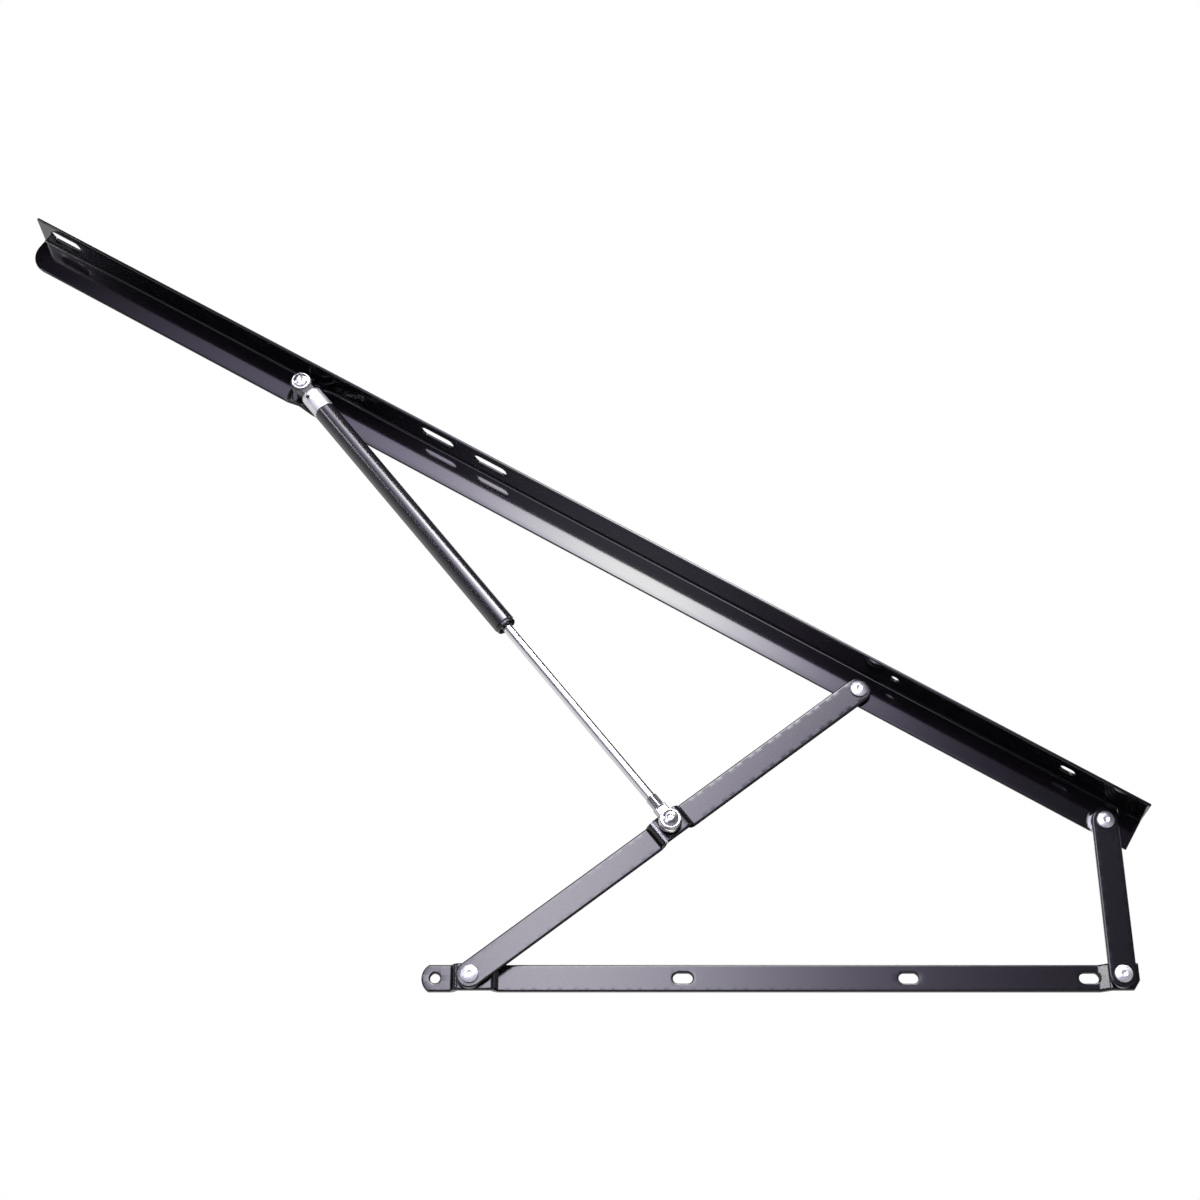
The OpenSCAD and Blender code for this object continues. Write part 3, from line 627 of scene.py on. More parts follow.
def per_metre(size):
    """Scale of a pattern whose features are as wide as the given millimetres."""
    return 1 / (size * METRES)


def shade(colour, share=1.0):
    """A colour times a share, with full opacity."""
    return (*(min(1.0, share * part) for part in colour), 1.0)


def new_finish(name):
    """An empty material and its node tree."""
    material = bpy.data.materials.new(name)
    material.use_nodes = True
    material.node_tree.nodes.clear()
    return material, material.node_tree


def end_finish(tree, tone, gloss, relief=None, depth=0.0, **more):
    """Ends a finish with its shader: the base colour is the tone's mix, the relief stands up by
    the depth in millimetres, and more holds other values of the shader."""
    sockets = {"Base Color": tone.outputs[2], "Roughness": gloss, **more}
    if relief is not None:
        bump = {"Height": relief, "Strength": 1.0, "Distance": depth * METRES}
        sockets["Normal"] = add(tree, "Bump", bump)
    add(tree, "OutputMaterial", {"Surface": add(tree, "BsdfPrincipled", sockets)})


def painted_highlight_band(tree, place, centre, axis, half, reach):
    """Share of a painted highlight at a pressed bend, from 0 to 1: pale paint that stands in for light
    caught by the bend, most on the circle round the axis that runs through the centre, less to both sides
    of it and away from the centre."""
    shifted = add(tree, "VectorMath", (place, axis), operation="SUBTRACT")
    flat = add(tree, "VectorMath", (shifted, (1.0, 0.0, 1.0)), operation="MULTIPLY")
    radius = add(tree, "VectorMath", (flat,), operation="LENGTH").outputs["Value"]
    usual = math.hypot(centre[0] - axis[0], centre[2] - axis[2])
    across = add(tree, "Math", (radius, usual), operation="SUBTRACT")
    across = add(tree, "Math", (across,), operation="ABSOLUTE")
    away = add(tree, "VectorMath", (place, centre), operation="DISTANCE").outputs["Value"]
    fades = []
    for value, start, end in ((across, half * 0.5, half), (away, reach * 0.8, reach)):
        fade = (value, start * METRES, end * METRES, 1.0, 0.0)
        fades.append(add(tree, "MapRange", fade, interpolation_type="SMOOTHSTEP"))
    return add(tree, "Math", fades, operation="MULTIPLY")


def baked_paint(name, colour, roughness, peel, depth, ior=1.5, bends=()):
    """Paint sprayed on steel and baked: the melt leaves a fine orange peel, and its tone drifts a little
    over a hand's width. On the given bends a pale band is mixed in, a painted highlight that stands in
    for light caught by the bend."""
    material, tree = new_finish(name)
    place = add(tree, "TexCoord").outputs["Object"]
    skin = add(tree, "TexNoise", {"Vector": place, "Scale": per_metre(peel), "Detail": 3.0})
    drift = add(tree, "TexNoise", {"Vector": place, "Scale": per_metre(60.0), "Detail": 2.0})
    mix = {0: drift, 6: shade(colour, 0.8), 7: shade(colour, 1.25)}
    tone = add(tree, "Mix", mix, data_type="RGBA")
    for bend in bends:
        # Painted highlight: pale colour on the bend in place of the light that it catches
        highlight_band_colour = shade(settings("finishes").highlight_band_colour)
        mix = {0: painted_highlight_band(tree, place, *bend), 6: tone.outputs[2], 7: highlight_band_colour}
        tone = add(tree, "Mix", mix, data_type="RGBA")
    gloss = add(tree, "MapRange", (skin, 0.3, 0.7, roughness * 0.88, roughness * 1.12))
    end_finish(tree, tone, gloss, skin, depth, IOR=ior)
    return material


def bare_metal(name, colour, roughness, grain, depth):
    """Plated or turned metal: fine pits left by the tool break up its gloss, and stains as wide as
    a bolt's shank cloud its tone."""
    material, tree = new_finish(name)
    place = add(tree, "TexCoord").outputs["Object"]
    pits = add(tree, "TexNoise", {"Vector": place, "Scale": per_metre(grain), "Detail": 4.0})
    stain = add(tree, "TexNoise", {"Vector": place, "Scale": per_metre(5.0), "Detail": 3.0})
    mix = {0: stain, 6: shade(colour, 0.82), 7: shade(colour, 1.08)}
    tone = add(tree, "Mix", mix, data_type="RGBA")
    gloss = add(tree, "MapRange", (pits, 0.3, 0.7, roughness * 0.75, roughness * 1.25))
    end_finish(tree, tone, gloss, pits, depth, Metallic=1.0)
    return material


def ground_chrome(name, colour, roughness, line):
    """Hard chrome on a ground rod: fine rings left by the grinding wheel run round it, drawn 0.4 mm
    wide, coarser than real, so that they show."""
    material, tree = new_finish(name)
    place = add(tree, "TexCoord").outputs["Object"]
    along = {"Vector": place, "Rotation": (0.0, SPRING_WAY, 0.0)}
    along = add(tree, "Mapping", along, vector_type="POINT")
    squeezed = {"Vector": along, "Scale": (1.0, 0.02, 0.02)}
    squeezed = add(tree, "Mapping", squeezed, vector_type="POINT")
    rings = add(tree, "TexNoise", {"Vector": squeezed, "Scale": per_metre(line), "Detail": 2.0})
    mix = {0: rings, 6: shade(colour, 0.9), 7: shade(colour)}
    tone = add(tree, "Mix", mix, data_type="RGBA")
    gloss = add(tree, "MapRange", (rings, 0.3, 0.7, roughness * 0.6, roughness * 1.4))
    end_finish(tree, tone, gloss, Metallic=1.0)
    return material


def moulded(name, colour, roughness, grain, depth):
    """Moulded nylon or rubber: the spark-eroded mould leaves a fine matt grain."""
    material, tree = new_finish(name)
    place = add(tree, "TexCoord").outputs["Object"]
    skin = add(tree, "TexNoise", {"Vector": place, "Scale": per_metre(grain), "Detail": 5.0})
    mix = {0: skin, 6: shade(colour, 0.8), 7: shade(colour, 1.3)}
    tone = add(tree, "Mix", mix, data_type="RGBA")
    end_finish(tree, tone, roughness, skin, depth, IOR=1.52)
    return material


def in_frame(point, height, shift=0.0, angle=0.0):
    """A place in the row frame in metres: a pivot shifted along an angle, at a height in front of
    the mounting face."""
    x, z = point[0] + shift * math.cos(angle), point[1] + shift * math.sin(angle)
    return (x * METRES, -height * METRES, z * METRES)


def bar_highlight_bends():
    """Bend of the bars that gets a painted highlight: the lower step of the long arm's pressed middle.
    The circle's axis lies 2 m away, so that the band is straight."""
    start = SPRING_ON_ARM - settings("bars").press_below + STEP_BAND
    centre = in_frame(LONG_BASE, MIDDLE_FRONT, start, LONG_WAY)
    far = in_frame(LONG_BASE, MIDDLE_FRONT, start + 2000.0, LONG_WAY)
    return [(centre, far, BAND_HALF, STEP_REACH)]


def rail_highlight_bends():
    """Bend of the rail that gets a painted highlight: the left of the short arm's land."""
    front = RAIL_BACK + settings("rail").thickness
    centre = in_frame(SHORT_RAIL, front, LAND_BAND, LAND_ANGLE)
    return [(centre, in_frame(SHORT_RAIL, front), BAND_HALF, LAND_REACH)]


FINISHES = {
    # Black and satin: it takes the softbox as one soft pale sheet, with a painted highlight band on the
    # long arm's lower step
    "bar_paint": lambda f: baked_paint(
        "polyester_powder_coat_satin", f.bar, 0.18, 1.1, 0.012, bends=bar_highlight_bends()
    ),
    # Black and glossy: deep where it mirrors the dark room, with crisp light along its bend, and a
    # painted highlight band left of the short arm's land
    "rail_paint": lambda f: baked_paint(
        "polyester_powder_coat_gloss", f.rail, 0.1, 1.6, 0.004, bends=rail_highlight_bends()
    ),
    # Wet-looking black, with long bright lines down the drawn tube
    "tube_paint": lambda f: baked_paint(
        "alkyd_enamel_on_drawn_tube", f.tube, 0.24, 2.2, 0.004, 1.57
    ),
    # Dark grey metal with a dull sheen
    "black_fittings": lambda f: bare_metal("blackened_steel_turned", f.blackened, 0.32, 0.6, 0.01),
    # Matt black with soft edges of light
    "eye_plastic": lambda f: moulded("nylon_moulded_black", f.nylon, 0.4, 0.5, 0.01),
    # Pale grey metal, soft and slightly cloudy
    "rivet_steel": lambda f: bare_metal("zinc_plated_steel_pressed", f.zinc, 0.46, 0.7, 0.01),
    # The same pale metal, a little duller off the lathe
    "zinc": lambda f: bare_metal("zinc_plated_steel_turned", f.zinc, 0.5, 0.6, 0.01),
    # Near white metal that shows the room as light and dark patches
    "bolt_steel": lambda f: bare_metal("nickel_plated_steel_forged", f.nickel, 0.25, 0.8, 0.004),
    # Bright metal with long sharp streaks
    "rod_chrome": lambda f: ground_chrome("hard_chrome_ground", f.chrome, 0.2, 0.4),
    # Light silvery metal
    "piston_alloy": lambda f: bare_metal("aluminium_turned", f.aluminium, 0.3, 0.4, 0.004),
    # Dead black that hardly shines
    "seal_rubber": lambda f: moulded("nitrile_rubber_moulded", f.rubber, 0.6, 0.4, 0.01),
}
made_finishes = {}


def finish_of(node):
    """The material of the slot that a node names in the record, made when it is first asked for."""
    slot = SLOT_OF[node]
    if slot not in made_finishes:
        made_finishes[slot] = FINISHES[slot](settings("finishes"))
    return made_finishes[slot]


# Bars
def pressed_bar(outline, holes, path, bars, softer=0.0):
    """A flat bar cut to its outline and pressed: the middle of its thickness follows the path,
    whose bends are arcs, and each point lies between the two sides of that strip at its own x."""
    half = THICKNESS / 2
    line = rounded(path, bars.bend + half + softer, 10, closed=False)
    ahead = np.gradient(line, axis=0)
    sides = [line + side * half * left_of(unit(ahead)) for side in (-1, 1)]
    stops = np.unique(np.round(np.concatenate([side[:, 0] for side in sides]), 2))
    low, high = outline[:, 0].min(), outline[:, 0].max()
    stops = stops[(stops > low) & (stops < high)]
    along = np.union1d(stops, np.arange(low + 2, high, BAR_SPACING[1]))
    spots = np.stack(np.meshgrid(along, np.linspace(-10, 10, 9)), -1).reshape(-1, 2)
    points, faces = plate(dense(outline, BAR_SPACING[0], stops), holes, half, bars.edge, spots)
    back, front = (np.interp(points[:, 0], side[:, 0], side[:, 1]) for side in sides)
    share = points[:, 2] / THICKNESS + 0.5
    return np.column_stack([points[:, :2], back + (front - back) * share]), faces


def arm_outline(length, width):
    """A bar with two round ends, centred on its pivots, gone round anticlockwise."""
    right = arc((length, 0), width / 2, -90, 90, 32)
    left = arc((0, 0), width / 2, 90, 270, 32)
    return np.concatenate([right, left])


def bar_outline(end, width, curve):
    """Lower bar's outline: an arc at the tab, from asin(width / 2 / curve) below the axis to as
    much above it, and a cut corner at the other end."""
    half = width / 2
    reach = math.degrees(math.asin(half / curve))
    tab = arc((curve - half, 0), curve, 180 - reach, 180 + reach, 24)
    cut_x, cut_y = END_CUT
    corners = [tab[-1], (end - cut_x, -half), (end, cut_y - half), (end, half), tab[0]]
    return np.concatenate([rounded(corners, [0, 2, 2, 1, 0], 4, False), tab[1:-1]])


class BEDLIFT_OT_lower_bar(Operator):
    """Lower bar with its tab, its stepped pivots and its three slots"""

    bl_idname = "bed_lift.lower_bar"
    bl_label = "Lower bar"

    def execute(self, context):
        bars, shank = settings("bars"), settings("fasteners").shank
        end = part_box("base_rail")[1].x / METRES
        low, high = THICKNESS / 2, LAND_FRONT - THICKNESS / 2
        places = [-bars.width, *(LONG_BASE[0] + step for step in LEFT_STEPS)]
        places += [*(SHORT_BASE[0] + step for step in RIGHT_STEP), end + 1]
        path = list(zip(places, (low, low, high, high, low, low, high, high)))
        holes = [slot_hole((x, 0), bars.slot_length, bars.slot_width) for x in BAR_SLOTS]
        holes += [hole((0, 0), bars.tab_hole), hole(LONG_BASE, shank), hole(SHORT_BASE, shank)]
        outline = bar_outline(end, bars.width, bars.tab_end)
        surface = pressed_bar(outline, holes, path, bars)
        add_piece("lower_bar", placed(surface, (0, 0)), "base_rail")
        return {"FINISHED"}


class BEDLIFT_OT_arms(Operator):
    """Long arm with its pressed middle, and short arm"""

    bl_idname = "bed_lift.arms"
    bl_label = "Arms"

    def execute(self, context):
        bars, bore = settings("bars"), settings("fasteners").shank + ARM_PLAY
        low, high = (ARM_BACK + ARM_FRONT) / 2, MIDDLE_FRONT - THICKNESS / 2
        start, end = SPRING_ON_ARM - bars.press_below, SPRING_ON_ARM + bars.press_above
        foot, far_foot = start - bars.press_run, end + bars.press_run
        middle = [(foot, low), (start, high), (end, high), (far_foot, low)]
        soft = bars.soft_bend * np.array([0, 0, 1, 1, 0, 0])
        for node, pivots, steps, softer, point, angle in (
            ("long_arm", (0.0, SPRING_ON_ARM, LONG_LENGTH), middle, soft, LONG_BASE, LONG_WAY),
            ("short_arm", (0.0, SHORT_LENGTH), [], 0.0, SHORT_BASE, SHORT_WAY),
        ):
            holes = [hole((x, 0), bore) for x in pivots]
            path = [(-bars.width, low), *steps, (pivots[-1] + bars.width, low)]
            outline = arm_outline(pivots[-1], bars.width)
            surface = pressed_bar(outline, holes, path, bars, softer)
            add_piece(node + "_bar", placed(surface, point, angle), node)
        return {"FINISHED"}


# Top rail
def angle_rail(rail, shank):
    """The rail as a flat sheet, s along it, u across it and w through it, folded and pressed. Up
    to the bend the sheet stands upright; in the bend it turns by (u - start) / radius about the
    bend's axis; past the bend it runs level to the front. Each pressing moves the upright flange
    forward by its height times 3 t^2 - 2 t^3, with t from 0 at its outer radius to 1 at its inner."""
    half = rail.thickness / 2
    radius = rail.bend + half
    top = rail.drop + rail.thickness
    bottom = top - rail.side
    depth = RAIL_FRONT - RAIL_BACK
    bend_start = top - half - radius
    bend_end = bend_start + radius * math.pi / 2
    reach = bend_end + depth - half - radius
    corners = [(-rail.left, bottom), (rail.right, bottom), (rail.right, reach), (-rail.left, reach)]
    bend_rows = np.linspace(bend_start, bend_end, 11)
    outline = rounded(corners, [rail.corner, 1, 1, 1], 10)
    outline = dense(outline, RAIL_SPACING[0], bend_rows, axis=1)
    line = bend_end + rail.slot_line - half - radius
    holes = [slot_hole((x, line), rail.slot_length, rail.slot_width) for x in RAIL_SLOTS]
    holes.append(hole((RAIL_HOLE, line), rail.hole, 32))
    holes.append(slot_hole((FOOT_SLOT, line), rail.foot_length, rail.foot_width))
    holes += [hole((x, 0), shank, 32) for x in (0.0, RAIL_SPAN, -SPRING_ON_RAIL)]
    # Points in rows along the rail, and in rings round each pressing
    rows = np.concatenate([[-8.0, 0.0, 8.0], bend_rows, np.linspace(bend_end + 6, reach - 6, 5)])
    along = np.arange(-rail.left + 4, rail.right, RAIL_SPACING[1])
    spots = np.stack(np.meshgrid(along, rows), -1).reshape(-1, 2)
    pressings = [(-SPRING_ON_RAIL, BOSS_HEIGHT, *BOSS_RADII), (RAIL_SPAN, LAND_HEIGHT, *LAND_RADII)]
    for x, _, inner, outer in pressings:
        spots = spots[(np.abs(spots[:, 0] - x) > outer + 3) | (spots[:, 1] > bend_start - 0.1)]
        rings = [arc((x, 0), r, 0, 360, 72)[:-1] for r in np.arange(inner - 3, outer + 1.6, 0.75)]
        rings = np.concatenate(rings)
        spots = np.concatenate([spots, rings[rings[:, 1] < bend_start - 0.3]])
    points, faces = plate(outline, holes, half, rail.edge, spots)
    # The fold, and then the pressings
    s, u, w = points.T
    theta = np.clip((u - bend_start) / radius, 0, np.pi / 2)
    past = np.maximum(u - bend_end, 0)
    y = np.minimum(u, bend_start) + (radius - w) * np.sin(theta)
    z = RAIL_BACK + half + radius - (radius - w) * np.cos(theta) + past
    for x, height, inner, outer in pressings:
        share = np.clip((outer - np.hypot(s - x, u)) / (outer - inner), 0, 1)
        z = z + height * share * share * (3 - 2 * share)
    return np.stack([s, y, z], -1), faces


class BEDLIFT_OT_top_rail(Operator):
    """Top rail: a pressed angle with slots, a boss for the gas spring and a land"""

    bl_idname = "bed_lift.top_rail"
    bl_label = "Top rail"

    def execute(self, context):
        surface = angle_rail(settings("rail"), settings("fasteners").shank)
        add_piece("pressed_rail", placed(surface, LONG_RAIL, RAIL_WAY), "top_rail")
        return {"FINISHED"}


# Rivets, bolts and washers
def dome(diameter, height, rim, hollow=0.0, sink=0.0):
    """Profile of a domed head from its middle outwards and down to its foot: a cap of a ball over
    a low rim with a rounded edge, less a hollow of sink * (1 - (2 r / hollow)^2) in its middle."""
    radius = diameter / 2
    rise = height - rim
    ball = (radius**2 + rise**2) / (2 * rise)
    r = np.linspace(0, radius - 0.4, 24)
    h = height - ball + np.sqrt(ball**2 - r**2)
    if hollow:
        h = h - sink * np.clip(1 - (r / (hollow / 2)) ** 2, 0, 1)
    edge = arc((radius - 0.5, rim - 0.5), 0.5, 60, 0, 4)
    edge = np.concatenate([edge, [(radius, 0.25), (radius - 0.2, 0.0)]])
    return np.concatenate([np.stack([r, h], -1), edge])


def rear_head(fasteners, back):
    """Profile of a rivet's rear head from its foot at the back face inwards: an upturned dome."""
    height = fasteners.tail_height
    return dome(fasteners.rivet_tail, height, height / 2)[::-1] * (1, -1) + (0, back)


def rivet(back, front, whole, fasteners):
    """A whole rivet, or its front half: head, shank and, where it is whole, rear head."""
    height, shank = fasteners.rivet_height, fasteners.shank / 2
    hollow = (fasteners.hollow, fasteners.hollow_depth)
    head = dome(fasteners.rivet_head, height, height / 2, *hollow) + (0, front)
    foot = rear_head(fasteners, back) if whole else [(0, back)]
    return lathe([*head, (shank, front), (shank, back), *foot], fasteners.turns)


def washer(outer, inner, back, front, edge=0.25):
    """A flat ring with rounded edges."""
    corners = [(inner / 2, back), (outer / 2, back), (outer / 2, front), (inner / 2, front)]
    return closed_lathe(corners, [0.1, edge, edge, 0.1])


def bolt(fasteners, back):
    """Round head with a six-sided socket, and its shank: the dome runs down over a small bevel
    into the socket, whose wall keeps the hexagon's distance at every angle and whose floor is a
    shallow cone."""
    steps, shank = fasteners.turns, fasteners.shank / 2
    height = HEAD_FRONT - HEAD_BACK
    head = dome(fasteners.bolt_head, height, fasteners.bolt_rim)
    hexagon = hexagon_radius(fasteners.socket, steps)
    mouth = hexagon.max() + 0.25
    outer = head[head[:, 0] > mouth + 0.2]
    top, floor = outer[0, 1], height - fasteners.socket_depth
    radii = [0.0, hexagon * 0.6, hexagon, hexagon, mouth, *outer[:, 0], shank, shank, 0.0]
    heights = [floor - 0.5, floor, floor + 0.05, top - 0.1, top + 0.1, *outer[:, 1], 0.0, back, back]
    return moved(turned(radii, heights, steps), (0, 0, HEAD_BACK))


def nut(width, bore, back, front, steps):
    """A hexagon nut: each end is cut back by a cone of 30 degrees where the hexagon's side lies
    further out than the cone's foot, (side - foot) * tan 30, and the bore has a small countersink."""
    hexagon = hexagon_radius(width, steps)
    limit = width / 2 - 0.1
    cut = (hexagon - limit) * math.tan(math.radians(30))
    hole_side, mouth = bore / 2, bore / 2 + 0.6
    radii = [hole_side, mouth, limit, hexagon, hexagon, limit, mouth, hole_side, hole_side]
    heights = [back + 0.6, back, back, back + cut, front - cut, front, front, front - 0.6, back + 0.6]
    return turned(radii, heights, steps)


def collar(fasteners):
    """A hexagonal collar whose front corners are cut back by a cone of 30 degrees, on a shank
    through the arm, with a rivet's rear head."""
    width, steps = fasteners.collar, fasteners.turns
    front, seat = layer("lower_collar")[1], MIDDLE_FRONT
    foot = rear_head(fasteners, seat - THICKNESS)
    hexagon = hexagon_radius(width, steps)
    limit = width / 2 + 0.45
    cut = (hexagon - limit).clip(0) * math.tan(math.radians(30))
    radii = [0.0, np.minimum(hexagon, limit), hexagon, hexagon, fasteners.shank / 2, *foot[:, 0]]
    return turned(radii, [front, front, front - cut, seat, seat, *foot[:, 1]], steps)


class BEDLIFT_OT_rivets(Operator):
    """Rivets of the four pivots and the washers under the arms"""

    bl_idname = "bed_lift.rivets"
    bl_label = "Rivets and washers"

    def execute(self, context):
        fasteners = settings("fasteners")
        for name, node, point, back, whole in (
            ("lower_pivot_rivet", "base_long_rivet", LONG_BASE, LAND_BACK, True),
            ("upper_pivot_rivet", "rail_long_rivet", LONG_RAIL, RAIL_BACK, True),
            ("short_upper_rivet", "rail_short_rivet", SHORT_RAIL, RAIL_BACK + LAND_HEIGHT, True),
            ("short_lower_rivet", "base_short_rivet", SHORT_BASE, LAND_FRONT + RIVET_GAP, False),
        ):
            add_piece(name, placed(rivet(back, ARM_FRONT, whole, fasteners), point), node)
        shank = fasteners.shank / 2
        profile = [(0, LAND_FRONT), (shank, LAND_FRONT), (shank, LAND_BACK)]
        surface = lathe([*profile, *rear_head(fasteners, LAND_BACK)])
        add_piece("short_lower_rivet_tail", placed(surface, SHORT_BASE), "base_short_rivet_tail")
        for node, point in (
            ("base_long_washer", LONG_BASE),
            ("rail_long_washer", LONG_RAIL),
            ("base_short_washer", SHORT_BASE),
        ):
            surface = washer(fasteners.arm_washer, fasteners.shank + WASHER_PLAY, *layer(node))
            add_piece(node + "_ring", placed(surface, point), node)
        return {"FINISHED"}


class BEDLIFT_OT_spring_bolts(Operator):
    """Bolts through the gas spring's eyes with their washers, spacer, nut and collar"""

    bl_idname = "bed_lift.spring_bolts"
    bl_label = "Spring bolts"

    def execute(self, context):
        fasteners = settings("fasteners")
        bore = fasteners.shank + WASHER_PLAY
        for node, point, angle in (
            ("upper_bolt", SPRING_RAIL, RAIL_WAY),
            ("lower_bolt", SPRING_ARM, LONG_WAY),
        ):
            surface = bolt(fasteners, layer(node)[0] - HEAD_BACK)
            add_piece(node + "_head", placed(surface, point, angle), node)
        for node, point in (("upper_bolt_washer", SPRING_RAIL), ("lower_bolt_washer", SPRING_ARM)):
            surface = washer(fasteners.bolt_washer, bore, EYE_FRONT, HEAD_BACK, 0.35)
            add_piece(node + "_ring", placed(surface, point), node)
        surface = washer(fasteners.spacer, bore, *layer("upper_spacer"), 0.6)
        add_piece("spacer_sleeve", placed(surface, SPRING_RAIL), "upper_spacer")
        surface = nut(fasteners.nut, fasteners.shank, *layer("upper_nut"), fasteners.turns)
        add_piece("rear_nut", placed(surface, SPRING_RAIL, RAIL_WAY), "upper_nut")
        surface = placed(collar(fasteners), SPRING_ARM, LONG_WAY)
        add_piece("hexagonal_collar", surface, "lower_collar")
        return {"FINISHED"}


# Gas spring
def eye_plan(eye, reach, neck, steps=40):
    """Outline of a round eye with a neck along x: its circle from the angle where the neck's side
    leaves it, asin(neck / eye), round to the other side, and the neck's end."""
    join = math.degrees(math.asin(min(1.0, neck / eye)))
    ring = arc((0, 0), eye / 2, join, 360 - join, steps)
    return np.concatenate([ring, [(reach, -neck / 2), (reach, neck / 2)]])


def eye_plate(spring, reach, neck, edge):
    """A flat eye with rounded edges, as thick as its bush is long."""
    half = (EYE_FRONT - EYE_BACK) / 2
    plan = dense(eye_plan(spring.eye, reach, neck), 2.0)
    return plate(plan, [hole((0, 0), spring.eye_bore)], half, edge, np.zeros((0, 2)))


def tube_profile(spring):
    """Corners of the tube's profile and their radii: an open upper end, a wall, and a lower end
    rolled in over the guide."""
    radius, length = spring.tube / 2, spring.tube_length
    bore, mouth = radius - spring.tube_wall, spring.rod / 2 + 0.6
    corners = [
        (mouth, length),
        (radius - 1.0, length),
        (radius - 0.6, length - 3.0),
        (radius, length - 4.2),
        (radius, 0.6),
        (radius - 0.8, 0.0),
        (bore, 0.0),
        (bore, length - 2.0),
        (mouth, length - 2.0),
    ]
    return corners, [0.4, 1.1, 0.6, 1.2, 1.0, 0.5, 0.2, 0.2, 0.3]


def vented_sleeve(radius, inner, length, vent, steps=96):
    """The end sleeve, turned with rounded ends. Its level wall is a sheet as long as the way round
    it, with the vent cut into it, wrapped round the axis: a place (s, h) of the sheet goes to the
    angle s / radius and the height h. The vent's wall runs down to the bore from a rounded edge."""
    around = 2 * np.pi * radius
    low, high = SLEEVE_EDGES[0], length - SLEEVE_EDGES[1]
    x = np.linspace(0, around, steps + 1)
    rise = np.linspace(low, high, 11)[1:-1]
    loop = np.concatenate(
        [
            np.stack([x, np.full(steps + 1, low)], -1),
            np.stack([np.full(len(rise), around), rise], -1),
            np.stack([x[::-1], np.full(steps + 1, high)], -1),
            np.stack([np.zeros(len(rise)), rise[::-1]], -1),
        ]
    )
    countersink = 0.4
    centre = np.array([around * (90 + VENT_ANGLE) / 360, VENT_PLACE + countersink])
    mouth = hole(centre, vent + 2 * countersink, 32)
    spots = np.stack(np.meshgrid(x[1:-1], rise), -1).reshape(-1, 2)
    spots = spots[np.linalg.norm(spots - centre, axis=1) > vent / 2 + 1.2]
    flat, triangles = cap([loop, mouth], spots)
    rows = [(countersink, 0.0), (0.12, -0.12), (0.0, -0.4), (0.0, inner - radius)]
    share = [(vent / 2 + grow) / (vent / 2 + countersink) for grow, _ in rows]
    ring = np.concatenate([centre + (mouth - centre) * part for part in share])
    depth = np.repeat([radius + drop for _, drop in rows], len(mouth))
    parts = []
    for where, distance, faces in (
        (flat, np.full(len(flat), radius), triangles),
        (ring, depth, grid_faces(len(rows), len(mouth))),
    ):
        angle = where[:, 0] / radius
        x, y = distance * np.cos(angle), distance * np.sin(angle)
        parts.append((np.stack([x, y, where[:, 1]], -1), [faces]))
    corners = [(radius, high), (radius, length), (inner, length), (inner, 0), (radius, 0), (radius, low)]
    radii = [0, SLEEVE_EDGES[1] * 0.999, 0.3, 0.3, SLEEVE_EDGES[0] * 0.999, 0]
    parts.append(lathe(rounded(corners, radii, 8, closed=False), steps))
    return joined(*parts)


class BEDLIFT_OT_gas_tube(Operator):
    """Gas spring's tube with its rolled lip, its end sleeve with the vent, and its upper eye"""

    bl_idname = "bed_lift.gas_tube"
    bl_label = "Gas tube"

    def execute(self, context):
        spring = settings("spring")
        corners, radii = tube_profile(spring)
        surface = closed_lathe(corners, radii, 96, 5)
        add_piece("tube_shell", on_spring(laid(surface, spring.tube_start)), "gas_tube")
        sizes = (spring.sleeve / 2, spring.sleeve_bore / 2, spring.sleeve_length, spring.vent)
        surface = laid(vented_sleeve(*sizes), spring.sleeve_start)
        add_piece("vented_sleeve", on_spring(surface), "end_sleeve")
        eye = eye_plate(spring, spring.sleeve_start, spring.upper_neck, spring.upper_edge)
        add_piece("upper_eye_moulding", on_spring(moved(eye, (0, 0, SPRING_AXIS))), "upper_eye")
        return {"FINISHED"}


def hexagonal_neck(width, length, steps=72):
    """A hexagonal neck turned down to a round at its corners, each end cut back by a cone of 30
    degrees, with the rod's thread in its middle."""
    hexagon = np.minimum(hexagon_radius(width, steps, 30.0), width / 2 + 0.65)
    face = width / 2 - 0.15
    cut = (hexagon - face) * math.tan(math.radians(30))
    radii = [3.0, face, hexagon, hexagon, face, 0.0]
    return turned(radii, [length, length, length - cut, cut, 0.0, 0.0], steps)


class BEDLIFT_OT_piston_rod(Operator):
    """Chromed rod and the steel eye on its end"""

    bl_idname = "bed_lift.piston_rod"
    bl_label = "Piston rod"

    def execute(self, context):
        spring = settings("spring")
        low, high = spring.rod_start, SPRING_LENGTH - spring.rod_end
        radius, thread = spring.rod / 2, 3.0
        stud, tip = low - 16.0, high + 12.0
        profile = [(0, stud), (thread, stud), (thread, low), (radius, low), (radius, high)]
        profile += [(thread, high), (thread, tip), (0, tip)]
        profile = rounded(profile, [0, 0.4, 0, 0.5, 0.8, 0, 0.4, 0], 4, closed=False)
        add_piece("chromed_rod", on_spring(laid(lathe(profile, 64))), "gas_rod")
        eye = eye_plate(spring, spring.lower_reach, spring.lower_neck, spring.lower_edge)
        eye = moved((eye[0] * (-1, 1, 1), eye[1]), (SPRING_LENGTH, 0, SPRING_AXIS))
        neck = laid(hexagonal_neck(spring.hexagon, spring.hexagon_length), high)
        add_piece("steel_eye", on_spring(joined(eye, neck)), "lower_eye")
        return {"FINISHED"}


